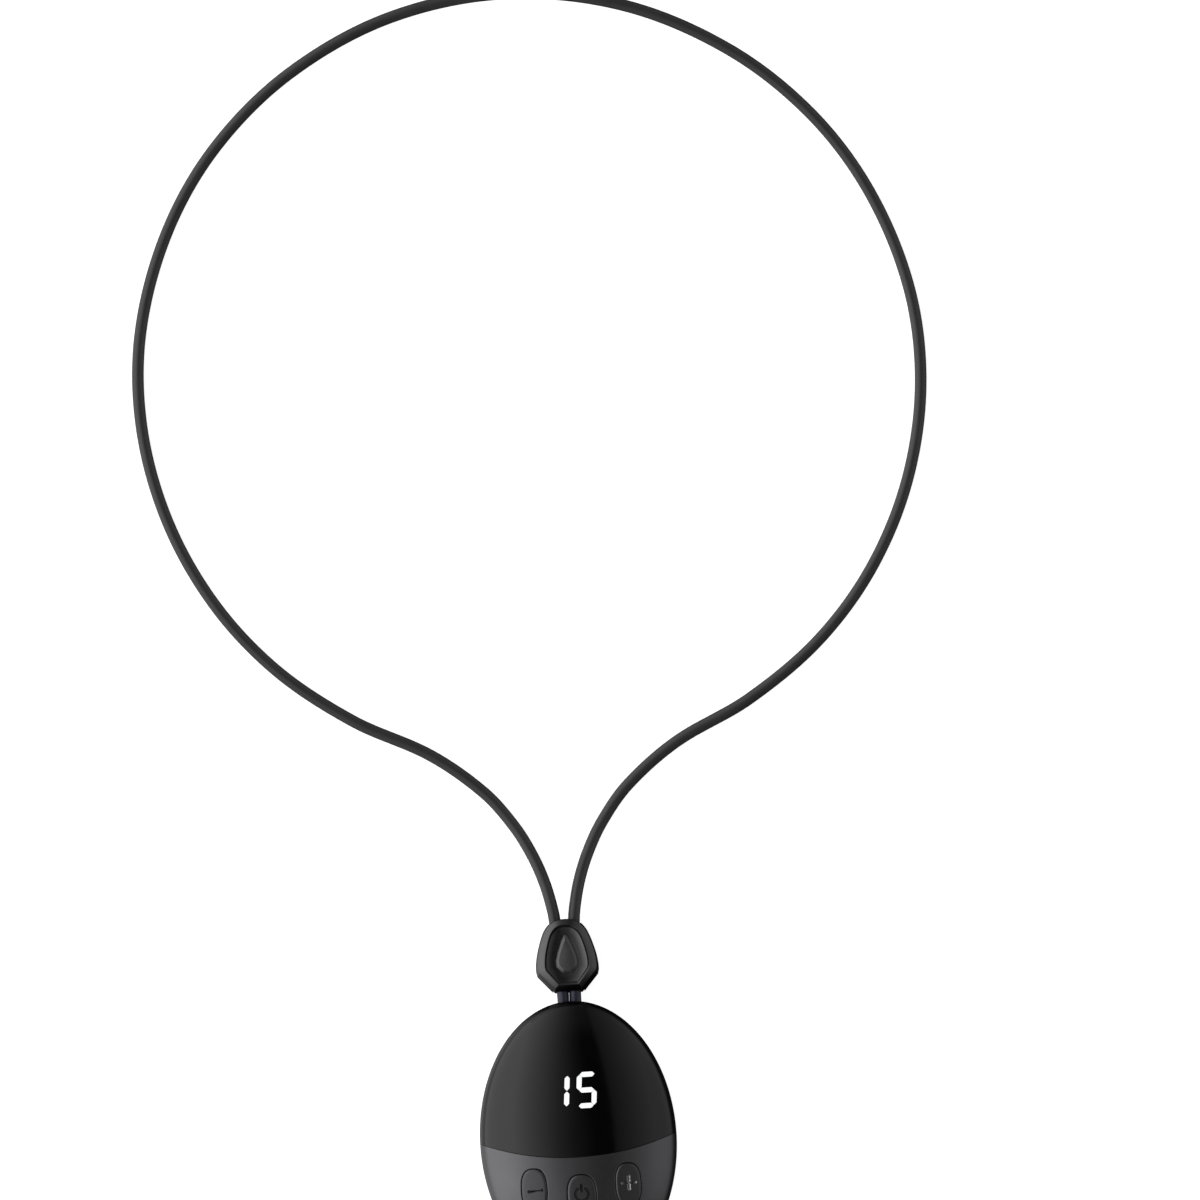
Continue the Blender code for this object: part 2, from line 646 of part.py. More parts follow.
def make_cord(surfaces):
    """The loop, and the two strands that run from the housing into the slider."""
    tube("neck_cord", smooth_line(loop_route(), CORD_POINTS), surfaces["rubber"])
    for name, side in (("strand_left", -1), ("strand_right", 1)):
        end_x, end_y = STRAND_END
        route = [
            Vector((side * STRAND_X, STRAND_START_Y, CORD_Z)),
            Vector((side * STRAND_X, 32 * MM, CORD_Z)),
            Vector((side * end_x, end_y, CORD_Z)),
        ]
        tube(name, smooth_line(route, 7), surfaces["rubber"])


def level_outline(right_side, ends, level):
    """A closed outline from its right half in mm, narrowed and moved to fit a level."""
    height, width_share, low_y, high_y = level
    stretch = (high_y - low_y) / (ends[1] - ends[0])
    right = [(x * width_share, low_y + (y - ends[0]) * stretch) for x, y in right_side]
    left = [(-x, y) for x, y in reversed(right)]
    return [Vector((x, y, height)) * MM for x, y in right + left]


def make_slider(surfaces):
    """The slider: a bevelled body, its back cover, a grip pad and a raised inlay."""
    def piece(name, right_side, ends, levels):
        rings = [level_outline(right_side, ends, level) for level in levels]
        return loft(name, rings, surfaces["slider"])

    body = piece("slider_body", SLIDER_RIGHT_SIDE, SLIDER_ENDS, SLIDER_BODY_LEVELS)
    bm = bmesh.new()
    box_into(bm, (-GROOVE_HALF_WIDTH, 30 * MM, 0.0),
             (GROOVE_HALF_WIDTH, 50 * MM, GROOVE_TOP_Z))
    combine(body, cutter("slider_groove", bm), "DIFFERENCE")
    back = piece("slider_back", SLIDER_RIGHT_SIDE, SLIDER_ENDS, SLIDER_BACK_LEVELS)
    inlay = piece("slider_inlay", INLAY_RIGHT_SIDE, INLAY_ENDS, INLAY_LEVELS)

    grip_half = GROOVE_HALF_WIDTH - 0.1 * MM
    grip_top = GROOVE_TOP_Z - 0.05 * MM
    bm = bmesh.new()
    box_into(bm, (-grip_half, 36 * MM, grip_top - 0.5 * MM), (grip_half, 44 * MM, grip_top))
    grip = object_from_bmesh("slider_grip", bm, surfaces["rubber"])

    axis_point = Vector((0.0, SLIDER_CENTRE_Y, CORD_Z))
    for moving in (body, back, grip, inlay):
        set_origin(moving, axis_point)


def main():
    clear_scene()
    surfaces = make_materials()
    make_front(surfaces)
    make_seal(surfaces)
    make_rear_shell(surfaces)
    make_keys(surfaces)
    make_board(surfaces)
    make_battery(surfaces)
    make_electrodes(surfaces)
    make_port(surfaces)
    make_cord_entry(surfaces)
    make_cord(surfaces)
    make_slider(surfaces)


main()
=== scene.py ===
"""Looks of the neck-worn pulse pendant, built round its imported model.

Everything is in metres in the model's own frame: the pendant lies face up with its long
axis along Y, and its cord loop lies on the same surface, towards +Y.
"""

import json
import math
from collections import namedtuple

import bmesh
import bpy
from mathutils import Matrix, Vector
from mathutils.geometry import delaunay_2d_cdt, interpolate_bezier


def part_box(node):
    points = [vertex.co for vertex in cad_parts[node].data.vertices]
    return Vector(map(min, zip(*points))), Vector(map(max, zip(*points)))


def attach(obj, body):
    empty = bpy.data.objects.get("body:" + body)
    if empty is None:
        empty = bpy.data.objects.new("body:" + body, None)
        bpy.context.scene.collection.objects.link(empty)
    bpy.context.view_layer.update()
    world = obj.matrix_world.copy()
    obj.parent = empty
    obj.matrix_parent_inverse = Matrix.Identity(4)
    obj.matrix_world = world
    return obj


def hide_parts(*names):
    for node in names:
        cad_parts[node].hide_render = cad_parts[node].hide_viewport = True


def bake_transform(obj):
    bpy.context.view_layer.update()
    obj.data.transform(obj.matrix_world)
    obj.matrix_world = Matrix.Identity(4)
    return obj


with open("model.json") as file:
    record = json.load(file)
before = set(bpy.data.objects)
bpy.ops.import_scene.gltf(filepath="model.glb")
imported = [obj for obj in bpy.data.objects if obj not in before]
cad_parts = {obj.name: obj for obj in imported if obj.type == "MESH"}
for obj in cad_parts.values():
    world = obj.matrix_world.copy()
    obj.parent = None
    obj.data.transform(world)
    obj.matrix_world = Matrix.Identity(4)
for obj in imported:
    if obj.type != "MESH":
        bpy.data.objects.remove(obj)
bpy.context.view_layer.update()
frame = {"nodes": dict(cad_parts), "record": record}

MM = 0.001
GAP = 0.3 * MM
WELD = 0.0005 * MM

# The housing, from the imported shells: an ellipse in plan, with a superellipse dome in front.
SHELL_LOW, SHELL_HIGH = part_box("rear_shell")
HALF_WIDTH = (SHELL_HIGH.x - SHELL_LOW.x) / 2
HALF_LENGTH = (SHELL_HIGH.y - SHELL_LOW.y) / 2
PARTING_Z = SHELL_HIGH.z + GAP / 2
FRONT_RISE = 8.8 * MM
BACK_DROP = PARTING_Z - SHELL_LOW.z
BACK_FLAT_SHARE = 0.6
DOME_POWER = 2.2
WALL = 1.4 * MM

# The seam between window and panel is an arc. Lips are the rounded edges along a hairline,
# and their steps are the distances from the edge at which they have points.
SEAM_RADIUS = 58.7 * MM
SEAM_CENTRE = Vector((0.0, SEAM_RADIUS - 3.8 * MM))
SEAM_GAP = 0.06 * MM
WINDOW_MIDDLE = Vector((0.0, 10 * MM))
WINDOW_LIP = 0.08 * MM
WINDOW_LIP_STEPS = [d * MM for d in (0.08, 0.055, 0.035, 0.02, 0.01, 0.004, 0.001, 0.0)]
PANEL_LIP = 0.09 * MM
PANEL_LIP_STEPS = [d * MM for d in (0.015, 0.04, 0.09, 0.3)]
KEY_GAP = 0.1 * MM
KEY_LIP = 0.15 * MM
KEY_LIP_STEPS = [d * MM for d in (0.0, 0.02, 0.05, 0.1, 0.15, 0.35)]

# Slots through the rear shell, each (half width, half height, height of its middle, ends in Y).
SLOT_POWER = 4.0
CORD_Z = 4.0 * MM
CORD_SLOT = (3.55 * MM, 2.1 * MM, CORD_Z, (21 * MM, 32 * MM))
PORT_SLOT = (4.75 * MM, 1.85 * MM, 4.35 * MM, (-32 * MM, -20 * MM))

# Electrodes, by the y of their middles, each with a stud towards the board.
ELECTRODES = {"electrode_upper": 11.5 * MM, "electrode_lower": -11.5 * MM}
ELECTRODE_RIM = 0.35 * MM
ELECTRODE_THICKNESS = 1.1 * MM
SEAT_TOP_Z = 1.2 * MM
STUD_RADIUS = 1.2 * MM
STUD_LOW_Z = 0.5 * MM
STUD_Y = 16.8 * MM

# Keys, measured from the surface of the panel round them.
KEY_POWER = 2.6
KEY_SIDES = 120
KEY_HALF_LENGTH = 4.6 * MM
KEY_PROUD = 0.31 * MM
KEY_SHOULDER = 0.5 * MM
KEY_SHOULDER_STEPS = [d * MM for d in (0.0, 0.02, 0.06, 0.13, 0.22, 0.34, 0.5, 0.8)]
KEY_FLANGE_WIDTH = 0.45 * MM
KEY_FLANGE_Z = (9.9 * MM, 10.5 * MM)
KEY_STEM_RADIUS = 1.5 * MM
KEY_FOOT_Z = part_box("mode_key")[0].z

# Marks engraved on the keys: a bar, a cross, and a power mark (an open ring and a stem).
ENGRAVED_DEPTH = 0.24 * MM
MARK_HALF_WIDTH = 0.38 * MM
BAR_REACH = 1.85 * MM
BAR_TILT = 0.06
CROSS_REACH = 1.75 * MM
POWER_HALF_WIDTH = 0.27 * MM
POWER_RADIUS = 1.45 * MM
POWER_OPENING = 0.62
POWER_STEM_REACH = 0.95 * MM
POWER_STEM_MIDDLE = 1.35 * MM

# Display digits: each is its name, its middle's x, its lit segments, and how far they stop
# short of their corners. A segment is its middle, in half digits, and whether it's upright.
DIGIT_HEIGHT = 7.9 * MM
DIGIT_WIDTH = 4.45 * MM
DIGIT_PITCH = 6.0 * MM
DIGIT_Y = 10.75 * MM
UNITS_DIGIT_X = 2.5 * MM
STROKE = 1.1 * MM
DIGIT_LEAN = math.radians(5.0)
DIGIT_ROUNDING = 0.12 * MM
DIGIT_SUNK = 0.12 * MM
DIGIT_PROUD = 0.015 * MM
SEGMENTS = {
    "a": (0, 1, False), "g": (0, 0, False), "d": (0, -1, False),
    "b": (1, 0.5, True), "c": (1, -0.5, True), "f": (-1, 0.5, True),
}
DIGITS = [
    ("digit_tens", UNITS_DIGIT_X - DIGIT_PITCH, "bc", 0.08 * MM),
    ("digit_units", UNITS_DIGIT_X, "afgcd", 0.03 * MM),
]

# Cord: two strands from the housing into the slider, and one loop, whose route is in mm.
CORD_RADIUS = 1.3 * MM
CORD_SIDES = 20
STRAND_X = 1.34 * MM
STRAND_STRAIGHT_Y = 32 * MM
STRAND_END_X = 1.85 * MM
LOOP_RIGHT_SIDE = [
    (2.0, 46.5, 4.0), (2.35, 50.0, 3.85), (3.75, 56.2, 2.9), (6.0, 62.3, 1.9),
    (9.6, 69.0, 1.4), (15.8, 76.8, 1.33), (27.0, 85.6, 1.33), (43.4, 94.0, 1.33),
    (59.4, 106.0, 1.33), (72.0, 121.2, 1.33), (81.0, 139.8, 1.33),
    (85.3, 160.5, 1.33), (84.2, 181.5, 1.33), (77.0, 203.0, 1.33),
    (65.2, 221.0, 1.33), (48.0, 236.2, 1.33), (25.5, 247.1, 1.33),
]
LOOP_TOP = (0.0, 251.0, 1.33)
LOOP_SKEW = 0.009

# Slider, in mm. Its outline is given by its right half: flat facets up to the widest corner,
# and then points of the smooth curve round the top. A level is its height, its share of the
# outline's width, and its lowest and highest y.
SLIDER_FACETS = [(3.1, 31.8), (6.65, 35.8)]
SLIDER_ROUND = [
    (6.9, 36.9), (6.85, 38.4), (6.55, 40.3), (6.05, 42.2), (5.4, 44.2), (4.5, 46.1),
    (3.3, 47.4), (1.7, 48.2),
]
SLIDER_ENDS = (31.8, 48.2)
SLIDER_BODY_LEVELS = [
    (2.35, 0.98, 32.0, 48.1), (5.2, 1.0, 31.8, 48.2), (6.9, 0.93, 33.1, 48.0),
    (7.7, 0.71, 33.9, 46.9), (6.9, 0.645, 34.5, 46.3), (6.7, 0.44, 36.0, 45.1),
]
SLIDER_BACK_LEVELS = [
    (0.0, 0.80, 33.6, 46.8), (0.8, 0.93, 32.6, 47.8), (2.05, 0.98, 32.0, 48.1),
]
INLAY_OUTLINE = [
    (1.1, 36.5), (2.35, 37.8), (2.45, 39.2), (1.85, 41.3), (1.05, 43.3), (0.25, 44.8),
]
INLAY_ENDS = (36.5, 44.8)
INLAY_LEVELS = [(6.73, 1.0, 36.5, 44.8), (7.0, 1.0, 36.5, 44.8), (7.42, 0.72, 37.2, 43.6)]
GROOVE_LOW = Vector((-3.45, 30.0, 0.0)) * MM
GROOVE_HIGH = Vector((3.45, 50.0, 5.95)) * MM

# The camera looks straight down from far away, turned a little. VIEW_WIDTH is how much of
# the surface it takes in.
CAMERA_PLACE = (12.3 * MM, 117.3 * MM)
CAMERA_TURN = math.radians(-3.69)
VIEW_WIDTH = 262.35 * MM
CAMERA_LENS = 1200.0
SENSOR = 36.0

# The floor, and the surround that stands just outside it.
FLOOR_RADIUS = 40.0
FLOOR_THICKNESS = 0.02
SURROUND_Z = (-0.5, 30.0)
SURROUND_THICKNESS = 0.2

# Brightness of the sky from left to right: a bright wall that fades towards overhead, a dark
# gap, and the crisp edge of a dimmer screen on the right.
SKY_ACROSS = [
    (-1.0, 0.76), (-0.6, 0.74), (-0.12, 0.15), (0.0, 0.05), (0.1, 0.01),
    (0.24, 0.01), (0.28, 0.07), (0.8, 0.27), (1.0, 0.26),
]
SKY_STRENGTH = 2.1


# ---- small helpers

def link_object(name, data):
    """A new object with this data, linked to the scene."""
    obj = bpy.data.objects.new(name, data)
    bpy.context.scene.collection.objects.link(obj)
    return obj


def shade(mesh, sharp):
    """Smooth shading, apart from edges sharper than an angle."""
    mesh.shade_smooth()
    mesh.set_sharp_from_angle(angle=math.radians(sharp))


def mesh_object(name, bm, surface, sharp=35.0):
    """A linked object from a bmesh, with its faces pointing out."""
    bmesh.ops.remove_doubles(bm, verts=bm.verts, dist=WELD)
    bmesh.ops.recalc_face_normals(bm, faces=bm.faces)
    mesh = bpy.data.meshes.new(name)
    bm.to_mesh(mesh)
    bm.free()
    shade(mesh, sharp)
    if surface is not None:
        mesh.materials.append(surface)
    return link_object(name, mesh)


def boolean(obj, other, operation):
    """Adds a modifier that cuts another object from this one or joins it on."""
    modifier = obj.modifiers.new(other.name, "BOOLEAN")
    modifier.operation = operation
    modifier.object = other
    modifier.solver = "EXACT"


def bevel(obj, width, segments=2, angle=20.0):
    """Adds a modifier that rounds the edges sharper than an angle."""
    modifier = obj.modifiers.new("edges", "BEVEL")
    modifier.width = width
    modifier.segments = segments
    modifier.limit_method = "ANGLE"
    modifier.angle_limit = math.radians(angle)


def apply_modifiers(obj, cutters=(), sharp=35.0):
    """Makes the evaluated mesh the object's own, and removes its cutters."""
    depsgraph = bpy.context.evaluated_depsgraph_get()
    mesh = bpy.data.meshes.new_from_object(obj.evaluated_get(depsgraph))
    obj.modifiers.clear()
    obj.data = mesh
    for used in cutters:
        bpy.data.objects.remove(used)
    bm = bmesh.new()
    bm.from_mesh(mesh)
    bmesh.ops.remove_doubles(bm, verts=bm.verts, dist=WELD)
    bmesh.ops.dissolve_degenerate(bm, edges=bm.edges, dist=WELD)
    bm.to_mesh(mesh)
    bm.free()
    shade(mesh, sharp)
    return obj


def finish_piece(obj, body, slot, *nodes):
    """Says what a piece rides on and which CAD nodes it stands for, and hides those nodes. The slot
    argument is not used.
    """
    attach(obj, body)
    if nodes:
        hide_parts(*nodes)
    return obj


# ---- shapes

def oval(half_x, half_y, z, sides, power=2.0, centre=(0.0, 0.0)):
    """A level superellipse, or an ellipse where the power is 2."""
    points = []
    for i in range(sides):
        angle = 2 * math.pi * i / sides
        c, s = math.cos(angle), math.sin(angle)
        x = half_x * math.copysign(abs(c) ** (2 / power), c)
        y = half_y * math.copysign(abs(s) ** (2 / power), s)
        points.append(Vector((centre[0] + x, centre[1] + y, z)))
    return points


def spaced(line, distances):
    """The points at these rising distances along a line."""
    points, walked, left = [], 0.0, list(distances)
    for a, b in zip(line, line[1:]):
        length = (b - a).length
        while left and left[0] <= walked + length:
            points.append(a.lerp(b, (left.pop(0) - walked) / length))
        walked += length
    return points


def line_length(line):
    """The length of a line of points."""
    return sum((b - a).length for a, b in zip(line, line[1:]))


def even_oval(half_x, half_y, z, sides, power=2.0, centre=(0.0, 0.0)):
    """An oval whose points are evenly spaced along its edge."""
    dense = oval(half_x, half_y, z, sides * 12, power, centre)
    loop = dense + [dense[0]]
    step = line_length(loop) / sides
    return spaced(loop, [step * i for i in range(sides)])


def join_rows(bm, low, high):
    """A closed band of faces between two rows of vertices."""
    for i in range(len(low)):
        j = (i + 1) % len(low)
        bm.faces.new((low[i], low[j], high[j], high[i]))


def loft_into(bm, rings, ring_of_rings=False):
    """Joins rings into a closed form, either capped or running back to the first ring."""
    rows = [[bm.verts.new(p) for p in ring] for ring in rings]
    for low, high in zip(rows, rows[1:]):
        join_rows(bm, low, high)
    if ring_of_rings:
        join_rows(bm, rows[-1], rows[0])
    else:
        bm.faces.new(rows[0])
        bm.faces.new(rows[-1])


def loft(name, rings, surface, ring_of_rings=False, sharp=35.0):
    """A lofted object."""
    bm = bmesh.new()
    loft_into(bm, rings, ring_of_rings)
    return mesh_object(name, bm, surface, sharp)


def box_into(bm, low, high):
    """A box between two corners."""
    corners = [(low[0], low[1]), (high[0], low[1]), (high[0], high[1]), (low[0], high[1])]
    loft_into(bm, [[Vector((x, y, z)) for x, y in corners] for z in (low[2], high[2])])


def disc_rings(radii_and_heights, sides, centre=(0.0, 0.0)):
    """Rings of a piece that is round about an upright axis."""
    return [oval(r, r, z, sides, centre=centre) for r, z in radii_and_heights]


def along_y(half_sizes_and_y, z, sides, power=2.0):
    """Rings of a piece that runs along Y, each an oval of (half width, half height, y)."""
    rings = []
    for half_x, half_z, y in half_sizes_and_y:
        flat = oval(half_x, half_z, 0.0, sides, power)
        rings.append([Vector((p.x, y, z + p.y)) for p in flat])
    return rings


def dome_share(rho):
    """The dome's height, as a share of its rise, at a share of the way from middle to rim."""
    return max(0.0, 1.0 - rho ** DOME_POWER) ** (1.0 / DOME_POWER)


def plan_radius(x, y, inset=0.0):
    """How far out a point lies, as a share of the way to the rim."""
    return math.hypot(x / (HALF_WIDTH - inset), y / (HALF_LENGTH - inset))


def front_z(x, y):
    """Height of the front surface, which stops just over the parting line."""
    rise = FRONT_RISE * dome_share(min(plan_radius(x, y), 1.0))
    return PARTING_Z + max(GAP / 2, rise)


def front_point(place, drop=0.0):
    """The point of the front surface over a place in plan, or this much below it."""
    return Vector((place.x, place.y, front_z(place.x, place.y) - drop))


def rim_point(angle, share=1.0):
    """A place in plan on the housing's outline, or a share of the way out to it."""
    return Vector((HALF_WIDTH * share * math.cos(angle), HALF_LENGTH * share * math.sin(angle)))


def under_front(x, y):
    """The point of the front's inner surface that lies under a point of the outer one."""
    edge = max(0.0, (plan_radius(x, y) - 0.85) / 0.15)
    edge = edge * edge * (3 - 2 * edge)
    share = 1 - edge * WALL / HALF_WIDTH
    x, y = x * share, y * share
    rise = (FRONT_RISE - WALL) * dome_share(min(plan_radius(x, y, WALL), 1.0))
    return Vector((x, y, PARTING_Z + max(GAP / 2, rise)))


def lip_drop(distance, radius):
    """How far a rounded edge has dropped at a distance from its end."""
    if distance >= radius:
        return 0.0
    return radius - math.sqrt(max(0.0, radius ** 2 - (radius - distance) ** 2))


def thicken(name, top, faces, surface):
    """A closed shell between a sheet of points on the front surface and its inner copy."""
    bm = bmesh.new()
    outer_row = [bm.verts.new(p) for p in top]
    inner_row = [bm.verts.new(under_front(p.x, p.y)) for p in top]
    twin = dict(zip(outer_row, inner_row))
    for face in faces:
        bm.faces.new([outer_row[i] for i in face])
    rim = [edge for edge in bm.edges if edge.is_boundary]
    for edge in rim:
        a, b = edge.verts
        bm.faces.new((a, b, twin[b], twin[a]))
    for face in faces:
        bm.faces.new([inner_row[i] for i in reversed(face)])
    return mesh_object(name, bm, surface, 40.0)


def seam_point(x, radius):
    """A point on the seam's arc at x."""
    return Vector((x, SEAM_CENTRE.y - math.sqrt(radius ** 2 - x ** 2)))


def seam_corner(radius):
    """Where the seam's arc meets the outline of the housing, on the right."""
    low, high = 0.9 * HALF_WIDTH, HALF_WIDTH
    for _ in range(60):
        x = (low + high) / 2
        if plan_radius(*seam_point(x, radius)) < 1:
            low = x
        else:
            high = x
    return seam_point(low, radius)


def smooth_line(route, count):
    """Evenly spaced points along a smooth curve through the route's points."""
    ends = [route[0] * 2 - route[1], *route, route[-1] * 2 - route[-2]]
    dense = []
    for before, start, end, after in zip(ends, ends[1:], ends[2:], ends[3:]):
        span = (end - start).length
        leave = (end - before).normalized() * span / 3
        arrive = (after - start).normalized() * span / 3
        dense += interpolate_bezier(start, start + leave, end - arrive, end, 24)[:-1]
    dense.append(route[-1])
    step = line_length(dense) / (count - 1)
    return [dense[0], *spaced(dense, [step * i for i in range(1, count - 1)]), dense[-1]]


def tube(name, points, radius, surface):
    """A round cord along points, with slightly rounded ends."""
    rings = []
    up = Vector((0, 0, 1))
    turns = [2 * math.pi * k / CORD_SIDES for k in range(CORD_SIDES)]
    for i, point in enumerate(points):
        before, after = points[max(i - 1, 0)], points[min(i + 1, len(points) - 1)]
        along = (after - before).normalized()
        side = along.cross(up).normalized()
        top = side.cross(along)
        rings.append([point + (side * math.cos(t) + top * math.sin(t)) * radius for t in turns])
    for end, last, beside in ((0, rings[0], rings[1]), (-1, rings[-1], rings[-2])):
        rings[end] = [points[end] + (p - points[end]) * 0.9 for p in last]
        rings.insert(end or 1, [p.lerp(q, 0.08) for p, q in zip(last, beside)])
    return loft(name, rings, surface, sharp=50.0)


# ---- materials

class Nodes:
    """A node tree under construction, with shorthand for joining its nodes."""

    def __init__(self, tree):
        self.tree = tree

    def join(self, socket, value):
        """Links a value's socket to this one, or sets the value on it."""
        if isinstance(value, bpy.types.NodeSocket):
            self.tree.links.new(value, socket)
        elif isinstance(value, tuple) and socket.type == "RGBA":
            socket.default_value = (*value, 1.0)
        else:
            socket.default_value = value

    def node(self, kind, values=(), **settings):
        """A new node with these settings and with values on its sockets."""
        made = self.tree.nodes.new(kind)
        for key, value in settings.items():
            setattr(made, key, value)
        for socket, value in dict(values).items():
            self.join(made.inputs[socket], value)
        return made

    def ramp(self, value, low, high, to_low, to_high, curve="LINEAR"):
        """A value carried from one range to another."""
        values = {"Value": value, "From Min": low, "From Max": high,
                  "To Min": to_low, "To Max": to_high}
        return self.node("ShaderNodeMapRange", values, interpolation_type=curve).outputs["Result"]

    def blend(self, share, first, second):
        """A colour between two."""
        values = {0: share, 6: first, 7: second}
        return self.node("ShaderNodeMix", values, data_type="RGBA").outputs[2]

    def maths(self, operation, first, second):
        """The result of a maths node on two values."""
        return self.node("ShaderNodeMath", {0: first, 1: second}, operation=operation).outputs[0]


class Surface(Nodes):
    """A material under construction."""

    def __init__(self, name):
        self.material = bpy.data.materials.new(name)
        self.material.use_nodes = True
        super().__init__(self.material.node_tree)
        self.shader = self.tree.nodes["Principled BSDF"]
        self.place = self.node("ShaderNodeTexCoord").outputs["Object"]

    def set(self, socket, value):
        """Links or sets one of the shader's own sockets."""
        self.join(self.shader.inputs[socket], value)

    def noise(self, size, detail=3.0):
        """Noise with features about this large, in metres."""
        values = {"Vector": self.place, "Scale": 1 / size, "Detail": detail, "Roughness": 0.55}
        return self.node("ShaderNodeTexNoise", values).outputs["Fac"]

    def bump(self, heights):
        """Bumps laid over each other, each (height value, depth in metres)."""
        normal = None
        for value, depth in heights:
            values = {"Height": value, "Strength": 1.0, "Distance": depth}
            if normal is not None:
                values["Normal"] = normal
            normal = self.node("ShaderNodeBump", values).outputs["Normal"]
        self.set("Normal", normal)


def gloss_window():
    """Smoked acrylic: almost black, with faint handling haze."""
    s = Surface("window_gloss")
    haze = s.noise(9 * MM, 4.0)
    s.set("Base Color", s.blend(haze, (0.0006, 0.0006, 0.0007), (0.0012, 0.0012, 0.0014)))
    s.set("Roughness", s.ramp(s.noise(3 * MM, 6.0), 0.3, 0.7, 0.07, 0.12))
    s.set("IOR", 1.49)
    s.bump([(s.noise(0.3 * MM, 2.0), 0.0006 * MM)])
    return s.material


def graphite(name, low, high, metallic, roughness):
    """Satin lacquer with a fine metallic grain."""
    s = Surface(name)
    grain = s.noise(0.09 * MM, 2.0)
    cloud = s.noise(7 * MM, 3.0)
    mixed = s.blend(grain, low, high)
    darker = tuple(c * 0.9 for c in low)
    s.set("Base Color", s.blend(s.ramp(cloud, 0.3, 0.7, 0.0, 0.35), mixed, darker))
    s.set("Metallic", metallic)
    s.set("Roughness", s.ramp(grain, 0.25, 0.75, roughness - 0.05, roughness + 0.06))
    s.bump([(grain, 0.0035 * MM), (s.noise(0.5 * MM, 3.0), 0.002 * MM)])
    return s.material


def satin_polymer(name, low, high, roughness, grain_size, grain_depth):
    """Moulded polymer with a fine eroded texture."""
    s = Surface(name)
    grain = s.noise(grain_size, 3.0)
    cloud = s.noise(11 * MM, 3.0)
    s.set("Base Color", s.blend(s.ramp(cloud, 0.3, 0.7, 0.0, 1.0), low, high))
    s.set("Roughness", s.ramp(grain, 0.25, 0.75, roughness - 0.06, roughness + 0.06))
    s.bump([(grain, grain_depth)])
    return s.material


def strand_rubber_painted_shade():
    """The cord's rubber, darker and bluer where it meets the housing: painted shade and a painted blue
    reflection.
    """
    s = Surface("cord_rubber_near_housing")
    grain = s.noise(0.2 * MM, 3.0)
    parts = s.node("ShaderNodeSeparateXYZ", {0: s.place})
    onward = s.ramp(parts.outputs["Y"], 31.5 * MM, 36 * MM, 0.0, 1.0)
    # near is painted shade with a painted blue reflection, on the strands just above the housing
    near = s.blend(grain, (0.018, 0.018, 0.042), (0.026, 0.026, 0.06))
    s.set("Base Color", s.blend(onward, near, (0.03, 0.03, 0.031)))
    s.set("Roughness", s.ramp(grain, 0.25, 0.75, 0.34, 0.46))
    s.bump([(grain, 0.006 * MM)])
    return s.material


def lit_segment():
    """White light guide, lit, and very slightly uneven."""
    s = Surface("segment_lit")
    soft = s.noise(1.5 * MM, 2.0)
    colour = s.blend(soft, (0.93, 0.95, 0.97), (1.0, 1.0, 1.0))
    s.set("Base Color", (0.2, 0.2, 0.2))
    s.set("Emission Color", colour)
    s.set("Emission Strength", 0.93)
    s.set("Roughness", s.ramp(soft, 0.3, 0.7, 0.35, 0.45))
    return s.material


def brushed_steel(name, centre_y):
    """Stainless steel turned about an upright axis through (0, centre_y)."""
    s = Surface(name)
    moved = s.node("ShaderNodeVectorMath", {0: s.place, 1: (0, centre_y, 0)},
                   operation="SUBTRACT")
    flat = s.node("ShaderNodeVectorMath", {0: moved.outputs[0], 1: (1, 1, 0)},
                  operation="MULTIPLY")
    radius = s.node("ShaderNodeVectorMath", {0: flat.outputs[0]}, operation="LENGTH")
    values = {"W": radius.outputs["Value"], "Scale": 1 / (0.12 * MM), "Detail": 3.0}
    rings = s.node("ShaderNodeTexNoise", values, noise_dimensions="1D").outputs["Fac"]
    s.set("Base Color", s.blend(rings, (0.55, 0.55, 0.56), (0.72, 0.72, 0.73)))
    s.set("Metallic", 1.0)
    s.set("Roughness", s.ramp(rings, 0.3, 0.7, 0.2, 0.34))
    s.bump([(rings, 0.003 * MM)])
    return s.material


def plated_metal(name, low, high, roughness):
    """Bare or plated metal with a slightly uneven polish."""
    s = Surface(name)
    grain = s.noise(0.4 * MM, 4.0)
    s.set("Base Color", s.blend(grain, low, high))
    s.set("Metallic", 1.0)
    s.set("Roughness", s.ramp(grain, 0.3, 0.7, roughness - 0.07, roughness + 0.07))
    s.bump([(grain, 0.003 * MM)])
    return s.material


def solder_mask():
    """Green board with a hint of its glass weave and of the tracks under the mask."""
    s = Surface("board_mask")
    weave = s.node("ShaderNodeTexWave", {"Vector": s.place, "Scale": 1 / (2.2 * MM),
                                         "Distortion": 2.0, "Detail": 2.0})
    tracks = s.ramp(weave.outputs["Fac"], 0.45, 0.55, 0.0, 1.0)
    s.set("Base Color", s.blend(tracks, (0.012, 0.11, 0.045), (0.03, 0.2, 0.09)))
    s.set("Roughness", s.ramp(s.noise(0.4 * MM), 0.3, 0.7, 0.25, 0.4))
    s.bump([(tracks, 0.02 * MM)])
    return s.material


